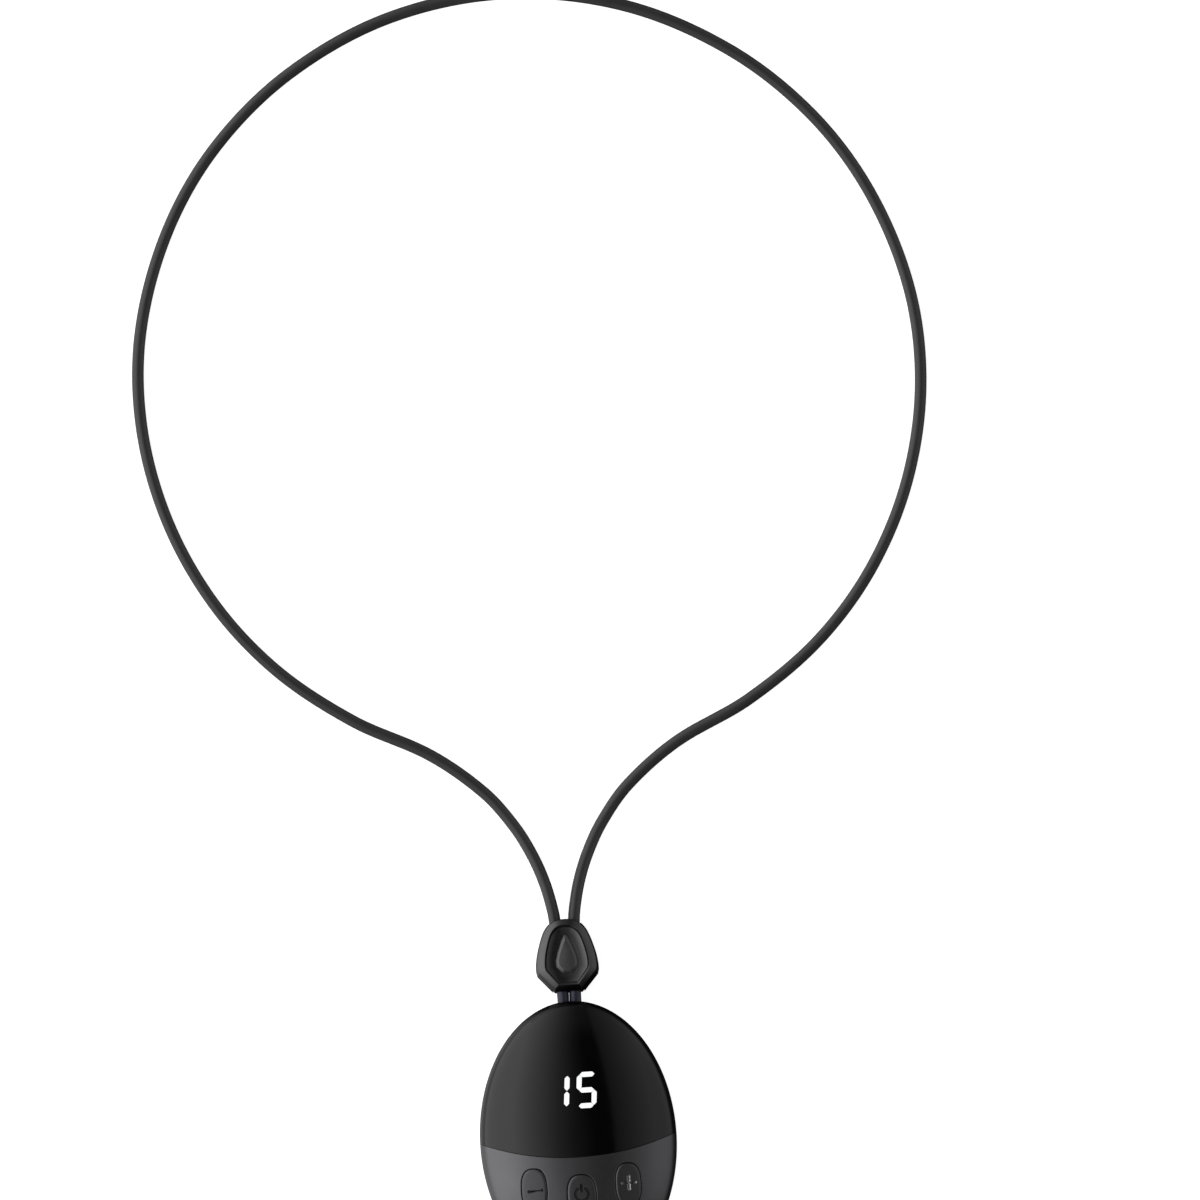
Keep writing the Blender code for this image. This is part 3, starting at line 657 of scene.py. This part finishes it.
def make_materials():
    """Every finish, by its slot in the record, its node or its piece."""
    return {
        "window": gloss_window(),
        "digits": lit_segment(),
        "strand": strand_rubber_painted_shade(),
        "board": solder_mask(),
        "electrode_upper": brushed_steel("electrode_steel_upper", ELECTRODES["electrode_upper"]),
        "electrode_lower": brushed_steel("electrode_steel_lower", ELECTRODES["electrode_lower"]),

        "graphite": graphite(
            "graphite_satin", (0.105, 0.105, 0.11), (0.15, 0.15, 0.156), 1.0, 0.31),
        "key": graphite(
            "key_satin", (0.075, 0.075, 0.078), (0.11, 0.11, 0.115), 1.0, 0.4),
        "slider": graphite(
            "slider_satin", (0.085, 0.085, 0.087), (0.125, 0.125, 0.127), 1.0, 0.24),
        "inlay": graphite(
            "inlay_satin", (0.085, 0.085, 0.087), (0.125, 0.125, 0.128), 0.6, 0.3),

        "rear_graphite": satin_polymer(
            "rear_satin", (0.035, 0.035, 0.037), (0.045, 0.045, 0.047), 0.42, 0.16 * MM, 0.006 * MM),
        "cord": satin_polymer(
            "cord_rubber", (0.026, 0.026, 0.027), (0.036, 0.036, 0.037), 0.38, 0.2 * MM, 0.006 * MM),
        "seal": satin_polymer(
            "seal_rubber", (0.012, 0.012, 0.013), (0.02, 0.02, 0.022), 0.6, 0.2 * MM, 0.008 * MM),
        "chip": satin_polymer(
            "moulded_black", (0.015, 0.015, 0.016), (0.03, 0.03, 0.031), 0.55, 0.1 * MM, 0.006 * MM),
        "foam": satin_polymer(
            "foam_grey", (0.2, 0.2, 0.2), (0.32, 0.32, 0.32), 0.9, 0.3 * MM, 0.05 * MM),
        "mark_dark": satin_polymer(
            "mark_paint", (0.004, 0.004, 0.005), (0.007, 0.007, 0.008), 0.5, 0.1 * MM, 0.002 * MM),

        # The plus mark's lighter metal, unlike the dark paint of the other marks, is a painted
        # highlight: it makes its groove walls catch bright glints.
        "mark_painted_highlight": plated_metal("mark_metal_painted_highlight", (0.2, 0.2, 0.205), (0.3, 0.3, 0.305), 0.25),
        "steel": plated_metal("plated_steel", (0.5, 0.5, 0.51), (0.68, 0.68, 0.69), 0.3),
        "copper": plated_metal("gold_plate", (0.62, 0.36, 0.16), (0.8, 0.52, 0.26), 0.28),
        "battery": plated_metal("foil_pouch", (0.5, 0.5, 0.52), (0.66, 0.66, 0.68), 0.36),
    }


def dress_cad_nodes(surfaces):
    """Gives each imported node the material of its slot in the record."""
    for part in frame["record"]["subparts"]:
        node = frame["nodes"][part["node"]]
        surface = surfaces.get(part["node"]) or surfaces[part["material_slot"]]
        node.data.materials.clear()
        node.data.materials.append(surface)


# ---- housing

def make_window(surfaces):
    """The window as rings that run from its middle to its edge, with a lip along the seam."""
    radius = SEAM_RADIUS - SEAM_GAP / 2
    corner = seam_corner(radius)
    seam_count, rim_count, ring_count = 110, 150, 40
    edge = [seam_point(corner.x * (2 * i / seam_count - 1), radius) for i in range(seam_count)]
    turn = math.atan2(corner.y / HALF_LENGTH, corner.x / HALF_WIDTH)
    edge += [rim_point(turn + (math.pi - 2 * turn) * i / rim_count) for i in range(rim_count)]
    runs = [point - WINDOW_MIDDLE for point in edge]
    top = []
    for i in range(1, ring_count):
        share = 1 - (1 - i / ring_count) ** 1.7
        for run in runs:
            top.append(front_point(WINDOW_MIDDLE + run * share * (1 - WINDOW_LIP / run.length)))
    for distance in WINDOW_LIP_STEPS:
        for k, run in enumerate(runs):
            drop = lip_drop(distance, WINDOW_LIP) if k <= seam_count else 0.0
            top.append(front_point(WINDOW_MIDDLE + run * (1 - distance / run.length), drop))
    count = len(edge)
    faces = []
    for first in range(0, len(top) - count, count):
        for k in range(count):
            j = (k + 1) % count
            faces.append((first + k, first + j, first + count + j, first + count + k))
    top.append(front_point(WINDOW_MIDDLE))
    faces += [(len(top) - 1, (k + 1) % count, k) for k in range(count)]
    window = thicken("window_lens", top, faces, surfaces["window"])
    finish_piece(window, "root", "window", "front_window")


Key = namedtuple("Key", "name centre half_width")


def key_places():
    """Each key's cap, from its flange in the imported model."""
    places = []
    for name in ("minus_key", "mode_key", "plus_key"):
        low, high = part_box(name)
        middle = (low + high) / 2
        half_width = (high.x - low.x) / 2 - KEY_FLANGE_WIDTH
        places.append(Key(name, (middle.x, middle.y), half_width))
    return places


KEYS = key_places()


def key_ring(key, grow, z=0.0, sides=KEY_SIDES):
    """An oval this much larger than a key's cap."""
    return even_oval(key.half_width + grow, KEY_HALF_LENGTH + grow, z, sides, KEY_POWER, key.centre)


def inside_key(point, key, grow):
    """Whether a point lies inside an oval this much larger than a key's cap."""
    x = abs(point[0] - key.centre[0]) / (key.half_width + grow)
    y = abs(point[1] - key.centre[1]) / (KEY_HALF_LENGTH + grow)
    return x ** KEY_POWER + y ** KEY_POWER < 1


def triangulate(loops, lines, free, keep):
    """A triangulated sheet. Loops and lines are lists of (point, drop), joined in order, and
    free is a list of points. keep says whether a triangle with this centre stays. Returns the
    plan points, the drop of each, the triangles, and where each loop's points ended up."""
    points, drops, edges, starts = [], [], [], []
    for chain, closed in [(c, True) for c in loops] + [(c, False) for c in lines]:
        first = len(points)
        starts.append(first)
        points += [Vector((p[0], p[1])) / MM for p, _ in chain]
        drops += [drop for _, drop in chain]
        edges += [(first + i, first + i + 1) for i in range(len(chain) - 1)]
        if closed:
            edges.append((len(points) - 1, first))
    points += [Vector((p[0], p[1])) / MM for p in free]
    drops += [0.0] * len(free)
    flat, _, faces, origins, _, _ = delaunay_2d_cdt(points, edges, [], 0, 1e-5)
    flat = [Vector(p) * MM for p in flat]
    fall = [drops[olds[0]] if olds else 0.0 for olds in origins]
    where = {old: new for new, olds in enumerate(origins) for old in olds}
    kept = []
    for face in faces:
        if keep(sum((flat[i] for i in face), Vector((0, 0))) / 3):
            kept.append(tuple(face))
    chains = [[where[s + i] for i in range(len(c))] for s, c in zip(starts, loops)]
    return flat, fall, kept, chains


def without_strays(points, faces):
    """The points that faces use, and the faces renumbered to suit."""
    used = sorted({i for face in faces for i in face})
    new = {old: i for i, old in enumerate(used)}
    return [points[i] for i in used], [tuple(new[i] for i in face) for face in faces]


def panel_edge(corner, radius, seam_count):
    """The panel's outline: along the seam from right to left, and then round the housing."""
    rim_count = 150
    turn = math.atan2(corner.y / HALF_LENGTH, corner.x / HALF_WIDTH)
    seam = [seam_point(corner.x * (1 - 2 * i / seam_count), radius) for i in range(seam_count + 1)]
    angles = [math.pi - turn + (math.pi + 2 * turn) * i / rim_count for i in range(1, rim_count)]
    return [(place, PANEL_LIP) for place in seam] + [(rim_point(angle), 0.0) for angle in angles]


def panel_seam_lines(corner, radius, seam_count):
    """Lines beside the seam, which carry its lip. They stop just short of the rim."""
    reach = corner.x * 0.998
    lines = []
    for distance in PANEL_LIP_STEPS:
        places = [seam_point(reach * (1 - 2 * i / seam_count), radius + distance)
                  for i in range(seam_count + 1)]
        drop = lip_drop(distance, PANEL_LIP)
        lines.append([(place, drop) for place in places if plan_radius(*place) < 0.9992])
    return lines


def panel_filling(radius):
    """Points that fill the panel, clear of the seam and the keys and closer near the rim."""
    seam_clearance, key_clearance = 0.55 * MM, 0.85 * MM
    levels = 60
    filling = []
    for i in range(1, levels):
        share = math.cos(math.pi / 2 * (i / levels) ** 1.15) ** (1 / 1.1)
        around = max(24, int(260 * math.sqrt(share)))
        for k in range(around):
            place = rim_point(2 * math.pi * (k + 0.5 * (i % 2)) / around, share)
            from_seam = (place - SEAM_CENTRE).length - radius
            near_key = any(inside_key(place, key, key_clearance) for key in KEYS)
            if from_seam > seam_clearance and not near_key:
                filling.append(place)
    return filling


def make_panel(surfaces):
    """The lower panel, with rounded lips at the seam and round its three key openings."""
    radius = SEAM_RADIUS + SEAM_GAP / 2
    corner = seam_corner(radius)
    seam_count = 150
    loops = [panel_edge(corner, radius, seam_count)]
    for key in KEYS:
        for distance in KEY_LIP_STEPS:
            ring = key_ring(key, KEY_GAP + distance)
            loops.append([(p, lip_drop(distance, KEY_LIP)) for p in ring])

    def in_panel(centre):
        in_window = (centre - SEAM_CENTRE).length < radius
        return not in_window and not any(inside_key(centre, key, KEY_GAP) for key in KEYS)

    lines = panel_seam_lines(corner, radius, seam_count)
    flat, fall, faces, _ = triangulate(loops, lines, panel_filling(radius), in_panel)
    top = [front_point(place, drop) for place, drop in zip(flat, fall)]
    top, faces = without_strays(top, faces)
    panel = thicken("lower_panel", top, faces, surfaces["graphite"])
    finish_piece(panel, "root", "graphite", "front_panel")


def turned(points, angle):
    """Points turned about the origin."""
    spin = Matrix.Rotation(angle, 2)
    return [spin @ Vector(p) for p in points]


def half_circle(centre, start, radius, steps):
    """Points along a half circle that turns anticlockwise from an angle."""
    turns = [start + math.pi * i / steps for i in range(steps + 1)]
    return [centre + Vector((math.cos(t), math.sin(t))) * radius for t in turns]


def bar_outline(reach, half_width):
    """A rounded bar along X."""
    end = Vector((reach - half_width, 0.0))
    quarter = math.pi / 2
    return half_circle(end, -quarter, half_width, 8) + half_circle(-end, quarter, half_width, 8)


def cross_outline(reach, half_width):
    """A plus sign with round ends."""
    end = Vector((reach - half_width, 0.0))
    arm = [Vector((half_width, -half_width)), *half_circle(end, -math.pi / 2, half_width, 8)]
    return [p for quarter in range(4) for p in turned(arm, quarter * math.pi / 2)]


def open_ring_outline(radius, half_width, opening):
    """A ring with a gap at its top, and round ends."""
    start, end = math.pi / 2 + opening, 5 * math.pi / 2 - opening
    steps = 32
    along = []
    for i in range(steps + 1):
        angle = start + (end - start) * i / steps
        along.append(Vector((math.cos(angle), math.sin(angle))))
    points = [way * (radius + half_width) for way in along]
    points += half_circle(along[-1] * radius, end, half_width, 6)[1:-1]
    points += [way * (radius - half_width) for way in reversed(along)]
    points += half_circle(along[0] * radius, start + math.pi, half_width, 6)[1:-1]
    return points


def minus_outlines(inset):
    return [turned(bar_outline(BAR_REACH - inset, MARK_HALF_WIDTH - inset), BAR_TILT)]


def plus_outlines(inset):
    return [cross_outline(CROSS_REACH - inset, MARK_HALF_WIDTH - inset)]


def power_outlines(inset):
    half_width = POWER_HALF_WIDTH - inset
    stem = bar_outline(POWER_STEM_REACH - inset, half_width)
    stem = turned([p + Vector((POWER_STEM_MIDDLE, 0.0)) for p in stem], math.pi / 2)
    return [open_ring_outline(POWER_RADIUS, half_width, POWER_OPENING), stem]


# Each key's mark: its outlines, how far its walls slope in, its place from the key's middle,
# and the finish of its faces.
MARKS = {
    "minus_key": (minus_outlines, 0.3 * MM, (0.3 * MM, -0.2 * MM), "mark_dark"),
    "mode_key": (power_outlines, 0.1 * MM, (0.0, 0.4 * MM), "mark_dark"),
    # The plus mark's lighter metal fill is a painted highlight.
    "plus_key": (plus_outlines, 0.3 * MM, (0.1 * MM, 0.35 * MM), "mark_painted_highlight"),
}


def key_marks(key):
    """The outlines of a key's mark, in turn at the top of its walls and at its floor."""
    outlines, slope, shift, _ = MARKS[key.name]
    place = Vector((key.centre[0] + shift[0], key.centre[1] + shift[1]))
    pairs = zip(outlines(0.0), outlines(slope))
    return [[p + place for p in outline] for pair in pairs for outline in pair]


def cap_loops(key, marks):
    """The loops of a cap's top, each point with how far it lies below the panel's surface."""
    loops = []
    for inset in KEY_SHOULDER_STEPS:
        share = min(1.0, inset / KEY_SHOULDER)
        rise = KEY_PROUD * math.sqrt(1 - (1 - share) ** 2)
        loops.append([(p, -rise) for p in key_ring(key, -inset)])
    for i, outline in enumerate(marks):
        depth = ENGRAVED_DEPTH if i % 2 else 0.0
        loops.append([(p, depth - KEY_PROUD) for p in outline])
    return loops


def cap_filling(key, marks):
    """Points that fill a cap's top, clear of its mark."""
    filling = []
    for k, inset in enumerate((1.1, 1.4, 1.7, 2.0, 2.3, 2.6)):
        if inset * MM < key.half_width - 0.2 * MM:
            ring = key_ring(key, -inset * MM, sides=64 - 8 * k)
            filling += [p.to_2d() for p in ring]

    def clear(point):
        return all((q - point).length >= 0.32 * MM for outline in marks for q in outline)

    return [p for p in filling if clear(p)]


def cap_mesh(key):
    """A cap's rounded top with its mark engraved, on the flange and the foot below."""
    marks = key_marks(key)

    def in_cap(point):
        return inside_key(point, key, 0.0)

    loops = cap_loops(key, marks)
    flat, fall, faces, chains = triangulate(loops, [], cap_filling(key, marks), in_cap)
    fixed = {i for chain in chains for i in chain}
    sunk = {i for chain in chains[len(KEY_SHOULDER_STEPS) + 1::2] for i in chain}
    bm = bmesh.new()
    row = []
    for i, (place, drop) in enumerate(zip(flat, fall)):
        row.append(bm.verts.new(front_point(place, drop if i in fixed else -KEY_PROUD)))
    for face in faces:
        made = bm.faces.new([row[i] for i in face])
        made.material_index = int(any(i in sunk for i in face))
    low_z, high_z = KEY_FLANGE_Z
    stem = [(KEY_STEM_RADIUS, low_z), (KEY_STEM_RADIUS, KEY_FOOT_Z)]
    below = [
        key_ring(key, 0.0, high_z),
        key_ring(key, KEY_FLANGE_WIDTH, high_z),
        key_ring(key, KEY_FLANGE_WIDTH, low_z),
        *disc_rings(stem, KEY_SIDES, key.centre),
    ]
    edge = [row[i] for i in chains[0]]
    for ring in below:
        next_edge = [bm.verts.new(p) for p in ring]
        join_rows(bm, edge, next_edge)
        edge = next_edge
    bm.faces.new(edge)
    loose = [v for v in bm.verts if not v.link_faces]
    bmesh.ops.delete(bm, geom=loose, context="VERTS")
    return bm


def make_keys(surfaces):
    """The three key caps. The faces of their marks have a finish of their own."""
    for key in KEYS:
        cap = mesh_object(key.name.replace("key", "cap"), cap_mesh(key), surfaces["key"], 32.0)
        cap.data.materials.append(surfaces[MARKS[key.name][3]])
        finish_piece(cap, key.name, "key", key.name)


def segment_outlines(digit_x, lit, tip):
    """Outlines of one digit's lit segments, as hexagons that lean to the right."""
    reach_x, reach_y = (DIGIT_WIDTH - STROKE) / 2, (DIGIT_HEIGHT - STROKE) / 2
    half, lean = STROKE / 2, math.tan(DIGIT_LEAN)
    outlines = []
    for letter in lit:
        across, up, upright = SEGMENTS[letter]
        run = (reach_y / 2 if upright else reach_x) - tip
        hexagon = [(-run, 0.0), (half - run, -half), (run - half, -half),
                   (run, 0.0), (run - half, half), (half - run, half)]
        if upright:
            hexagon = [(-y, x) for x, y in hexagon]
        places = [(across * reach_x + x, up * reach_y + y) for x, y in hexagon]
        outlines.append([Vector((digit_x + x + y * lean, DIGIT_Y + y)) for x, y in places])
    return outlines


def rounded(outline, radius):
    """An outline with each corner turned into a short arc."""
    points = []
    count = len(outline)
    for i, corner in enumerate(outline):
        back = outline[i - 1] - corner
        ahead = outline[(i + 1) % count] - corner
        cut = min(radius, back.length * 0.4, ahead.length * 0.4)
        a, b = corner + back.normalized() * cut, corner + ahead.normalized() * cut
        for k in range(5):
            t = k / 4
            points.append(a * (1 - t) ** 2 + corner * 2 * t * (1 - t) + b * t ** 2)
    return points


def make_digits(surfaces):
    """The lit number, as low plates that follow the window's curve."""
    pieces = []
    for name, x, lit, tip in DIGITS:
        bm = bmesh.new()
        for outline in segment_outlines(x, lit, tip):
            edge = rounded(outline, DIGIT_ROUNDING)
            loft_into(bm, [[front_point(p, drop) for p in edge] for drop in (DIGIT_SUNK, -DIGIT_PROUD)])
        bmesh.ops.triangulate(bm, faces=[f for f in bm.faces if len(f.verts) > 4])
        pieces.append(mesh_object(name, bm, surfaces["digits"]))
    finish_piece(pieces[0], "root", "digits", "display_light_guide")
    finish_piece(pieces[1], "root", "digits")


def rear_rings(inset, steps):
    """Rings of the rear shell's surface, this far inside it, from the parting line down."""
    sides = 192
    half_x, half_y = HALF_WIDTH - inset, HALF_LENGTH - inset
    rings = [oval(half_x, half_y, SHELL_HIGH.z, sides)]
    for i in range(1, steps + 1):
        turn = math.pi / 2 * i / steps
        share = BACK_FLAT_SHARE + (1 - BACK_FLAT_SHARE) * math.cos(turn) ** (2 / DOME_POWER)
        z = PARTING_Z - (BACK_DROP - inset) * math.sin(turn) ** (2 / DOME_POWER)
        if z < SHELL_HIGH.z - 0.05 * MM:
            rings.append(oval(half_x * share, half_y * share, z, sides))
    return rings


def make_rear_shell(surfaces):
    """The back, with electrode seats, the cord's slot and the socket's slot."""
    rings = list(reversed(rear_rings(0.0, 22))) + rear_rings(WALL, 12)
    shell = loft("rear_cover", rings, surfaces["rear_graphite"])
    bm = bmesh.new()
    for name, y in ELECTRODES.items():
        low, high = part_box(name)
        seat = (high.x - low.x) / 2 + GAP
        loft_into(bm, disc_rings([(seat, -MM), (seat, SEAT_TOP_Z)], 96, (0.0, y)))
    seats = mesh_object("seats", bm, None)
    boolean(shell, seats, "DIFFERENCE")
    bm = bmesh.new()
    for half_x, half_z, z, ends in (CORD_SLOT, PORT_SLOT):
        loft_into(bm, along_y([(half_x, half_z, y) for y in ends], z, 64, SLOT_POWER))
    slots = mesh_object("slots", bm, None)
    boolean(shell, slots, "DIFFERENCE")
    apply_modifiers(shell, [seats, slots])
    finish_piece(shell, "root", "rear_graphite", "rear_shell")


def make_electrodes(surfaces):
    """Steel discs with a rounded rim and a stud."""
    for name, y in ELECTRODES.items():
        low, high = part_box(name)
        radius = (high.x - low.x) / 2
        rim = ELECTRODE_RIM
        profile = []
        for i in range(7):
            turn = math.pi / 2 * i / 6
            profile.append((radius - rim + rim * math.sin(turn), rim - rim * math.cos(turn)))
        profile.append((radius, ELECTRODE_THICKNESS))
        disc = loft(f"{name}_face", disc_rings(profile, 128, (0.0, y)), surfaces[name])
        stud = [(STUD_RADIUS, STUD_LOW_Z), (STUD_RADIUS, high.z)]
        stud = loft("stud", disc_rings(stud, 40, (0.0, math.copysign(STUD_Y, y))), None)
        boolean(disc, stud, "UNION")
        apply_modifiers(disc, [stud])
        finish_piece(disc, "root", "electrode", name)


def make_socket(surfaces):
    """The charging socket's shell with a rounded mouth, and its tongue with contacts."""
    low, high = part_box("charging_port")
    centre_z = (low.z + high.z) / 2
    half_x, half_z = high.x, (high.z - low.z) / 2
    wall, lip, edge = 0.3 * MM, 0.12 * MM, 0.04 * MM
    floor_y = high.y - 0.8 * MM
    profile = [
        (0.0, high.y), (0.0, low.y + lip), (edge, low.y + edge), (wall / 2, low.y),
        (wall - edge, low.y + edge), (wall, low.y + lip), (wall, floor_y),
    ]
    sizes = [(half_x - inset, half_z - inset, y) for inset, y in profile]
    shell = loft("socket_shell", along_y(sizes, centre_z, 72, SLOT_POWER), surfaces["steel"])
    finish_piece(shell, "root", "steel", "charging_port")

    low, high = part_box("port_tongue")
    bm = bmesh.new()
    box_into(bm, low, high)
    tongue = mesh_object("socket_tongue", bm, surfaces["chip"])
    bevel(tongue, 0.12 * MM, 3)
    apply_modifiers(tongue)
    finish_piece(tongue, "root", "chip", "port_tongue")
    bm = bmesh.new()
    contacts, margin, half_width = 8, 0.6 * MM, 0.13 * MM
    sunk, proud = 0.02 * MM, 0.03 * MM
    for i in range(contacts):
        x = low.x + margin + (high.x - low.x - 2 * margin) * i / (contacts - 1)
        for z0, z1 in ((high.z - sunk, high.z + proud), (low.z - proud, low.z + sunk)):
            corner = (x - half_width, low.y + 0.35 * MM, z0)
            box_into(bm, corner, (x + half_width, high.y - MM, z1))
    pads = mesh_object("socket_contacts", bm, surfaces["copper"])
    finish_piece(pads, "root", "copper")


def make_grommet(surfaces):
    """The rubber sleeve that the cord leaves the housing through."""
    sizes = [(3.0, 1.55, 29.75), (3.0, 1.55, 25.8), (3.35, 1.9, 25.8), (3.35, 1.9, 29.6),
             (3.31, 1.86, 29.78), (3.2, 1.75, 29.88), (3.08, 1.63, 29.86)]
    rings = along_y([(a * MM, b * MM, c * MM) for a, b, c in sizes], CORD_Z, 72, SLOT_POWER)
    sleeve = loft("cord_sleeve", rings, surfaces["seal"], ring_of_rings=True)
    finish_piece(sleeve, "root", "seal", "cord_grommet")


# ---- slider and cord

def closed_outline(right, ends, level):
    """A closed outline from its right half in mm, narrowed and moved to fit a level."""
    height, width_share, low_y, high_y = level
    stretch = (high_y - low_y) / (ends[1] - ends[0])
    side = [(x * width_share, low_y + (y - ends[0]) * stretch) for x, y in right]
    left = [(-x, y) for x, y in reversed(side)]
    return [Vector((x, y, height)) * MM for x, y in side + left]


def slider_right_side():
    """The right half of the outline: flat facets below, one smooth curve above."""
    route = [Vector((x, y, 0)) for x, y in SLIDER_ROUND]
    mirrored = [Vector((-p.x, p.y, 0)) for p in reversed(route)]
    curve = smooth_line(route + mirrored, 61)
    half = [(p.x, p.y) for p in curve if p.x > 0.01]
    return SLIDER_FACETS + half


def slider_part(name, outline, ends, levels, surface, edge, node, groove=None):
    """One part of the slider: lofted through its levels, cut by the groove and bevelled."""
    part = loft(name, [closed_outline(outline, ends, level) for level in levels], surface)
    if groove:
        boolean(part, groove, "DIFFERENCE")
    width, angle = edge
    bevel(part, width, 2, angle)
    apply_modifiers(part, [groove] if groove else [], 30.0)
    return finish_piece(part, "slider", "slider", node)


def make_slider(surfaces):
    """The slider's bevelled body, its back, its inlay and the pad that grips the cord."""
    right, satin = slider_right_side(), surfaces["slider"]
    shell_edge, inlay_edge = (0.1 * MM, 24.0), (0.06 * MM, 20.0)
    bm = bmesh.new()
    box_into(bm, GROOVE_LOW, GROOVE_HIGH)
    groove = mesh_object("groove", bm, None)
    body = slider_part("slider_housing", right, SLIDER_ENDS, SLIDER_BODY_LEVELS, satin,
                       shell_edge, "slider_body", groove)
    back = slider_part("slider_cover", right, SLIDER_ENDS, SLIDER_BACK_LEVELS, satin,
                       shell_edge, "slider_back")
    inlay = slider_part("slider_drop", INLAY_OUTLINE, INLAY_ENDS, INLAY_LEVELS,
                        surfaces["inlay"], inlay_edge, "slider_inlay")

    bm = bmesh.new()
    box_into(bm, *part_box("slider_grip"))
    pad = mesh_object("grip_pad", bm, surfaces["seal"])
    bevel(pad, 0.1 * MM)
    apply_modifiers(pad)
    finish_piece(pad, "slider", "seal", "slider_grip")
    return [body, back, inlay, pad]


def make_cord(surfaces):
    """The two strands from the housing into the slider, and the loop beyond it."""
    for name, side in (("strand_left", -1), ("strand_right", 1)):
        low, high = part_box(name)
        places = ((STRAND_X, low.y), (STRAND_X, STRAND_STRAIGHT_Y), (STRAND_END_X, high.y))
        route = [Vector((side * x, y, CORD_Z)) for x, y in places]
        strand = tube(f"cord_{name}", smooth_line(route, 25), CORD_RADIUS, surfaces["strand"])
        finish_piece(strand, "root", "cord", name)

    right = [Vector(p) * MM for p in LOOP_RIGHT_SIDE]
    left = [Vector((-p.x, p.y, p.z)) for p in reversed(right)]
    route = right + [Vector(LOOP_TOP) * MM] + left
    path = smooth_line([Vector((p.x, p.y - LOOP_SKEW * p.x, p.z)) for p in route], 420)
    loop = tube("cord_loop", path, CORD_RADIUS, surfaces["cord"])
    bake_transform(loop)
    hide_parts("neck_cord")


# ---- stage

def make_floor():
    """A wide pale floor, and a white surround that only the camera sees."""
    s = Surface("floor_pale")
    fine = s.noise(40 * MM)
    s.set("Base Color", s.blend(fine, (0.9, 0.9, 0.9), (0.92, 0.92, 0.92)))
    s.set("Roughness", s.ramp(fine, 0.3, 0.7, 0.75, 0.85))
    s.set("Emission Color", (1.0, 1.0, 1.0))
    s.set("Emission Strength", 0.85)
    profile = [(FLOOR_RADIUS, -FLOOR_THICKNESS), (FLOOR_RADIUS, 0.0)]
    floor = loft("floor", disc_rings(profile, 64), s.material)
    floor.visible_glossy = False

    s = Surface("surround_white")
    s.set("Base Color", (0.0, 0.0, 0.0))
    s.set("Emission Color", (1.0, 1.0, 1.0))
    s.set("Emission Strength", 1.0)
    (low, high), outer = SURROUND_Z, FLOOR_RADIUS + SURROUND_THICKNESS
    profile = [(outer, low), (outer, high), (FLOOR_RADIUS, high), (FLOOR_RADIUS, low)]
    wall = loft("surround", disc_rings(profile, 64), s.material, ring_of_rings=True)
    for kind in ("diffuse", "glossy", "transmission", "volume_scatter", "shadow"):
        setattr(wall, f"visible_{kind}", False)


def make_sky():
    """Soft light: bright from the left, dark overhead, dimmer from the right."""
    world = bpy.data.worlds.new("studio")
    bpy.context.scene.world = world
    world.use_nodes = True
    sky = Nodes(world.node_tree)
    place = sky.node("ShaderNodeTexCoord").outputs["Generated"]
    parts = sky.node("ShaderNodeSeparateXYZ", {0: place}).outputs

    across = sky.ramp(parts["X"], -1.0, 1.0, 0.0, 1.0)
    ramp = sky.node("ShaderNodeValToRGB", {"Fac": across})
    stops = ramp.color_ramp.elements
    stops.remove(stops[1])
    for i, (x, level) in enumerate(SKY_ACROSS):
        stop = stops.new((x + 1) / 2) if i else stops[0]
        stop.color = (level, level, level, 1.0)
    colour = ramp.outputs["Color"]

    def fade(axis, low, high, from_value, to_value):
        return sky.ramp(parts[axis], low, high, from_value, to_value, "SMOOTHSTEP")

    # Towards the south and the north the sky turns to a plain fall-off from left to right.
    south, north = fade("Y", -0.65, -0.3, 1.0, 0.0), fade("Y", 0.45, 0.85, 0.0, 0.25)
    for share, bright, dark in ((south, 0.42, 0.02), (north, 0.62, 0.1)):
        colour = sky.blend(share, colour, sky.ramp(parts["X"], -0.9, 0.35, bright, dark))

    above, leftward = fade("Z", -0.5, -0.1, 0.05, 1.0), fade("X", -0.6, -0.2, 0.45, 0.0)
    strength = sky.maths("MULTIPLY", sky.maths("MAXIMUM", above, leftward), SKY_STRENGTH)
    background = world.node_tree.nodes["Background"].inputs
    sky.join(background["Color"], colour)
    sky.join(background["Strength"], strength)


def make_camera():
    """A long lens straight overhead."""
    data = bpy.data.cameras.new("camera")
    data.lens = CAMERA_LENS
    data.sensor_width = SENSOR
    data.clip_end = 200.0
    camera = link_object("camera", data)
    camera.location = (*CAMERA_PLACE, VIEW_WIDTH * CAMERA_LENS / SENSOR + CORD_Z)
    camera.rotation_euler = (0.0, 0.0, CAMERA_TURN)
    bpy.context.scene.camera = camera


def main():
    make_camera()
    surfaces = make_materials()
    dress_cad_nodes(surfaces)
    slider_pieces = make_slider(surfaces)
    make_cord(surfaces)
    make_window(surfaces)
    make_panel(surfaces)
    make_keys(surfaces)
    make_digits(surfaces)
    make_rear_shell(surfaces)
    make_electrodes(surfaces)
    make_socket(surfaces)
    make_grommet(surfaces)
    make_floor()
    make_sky()
    bpy.context.scene.view_settings.view_transform = "Standard"


main()
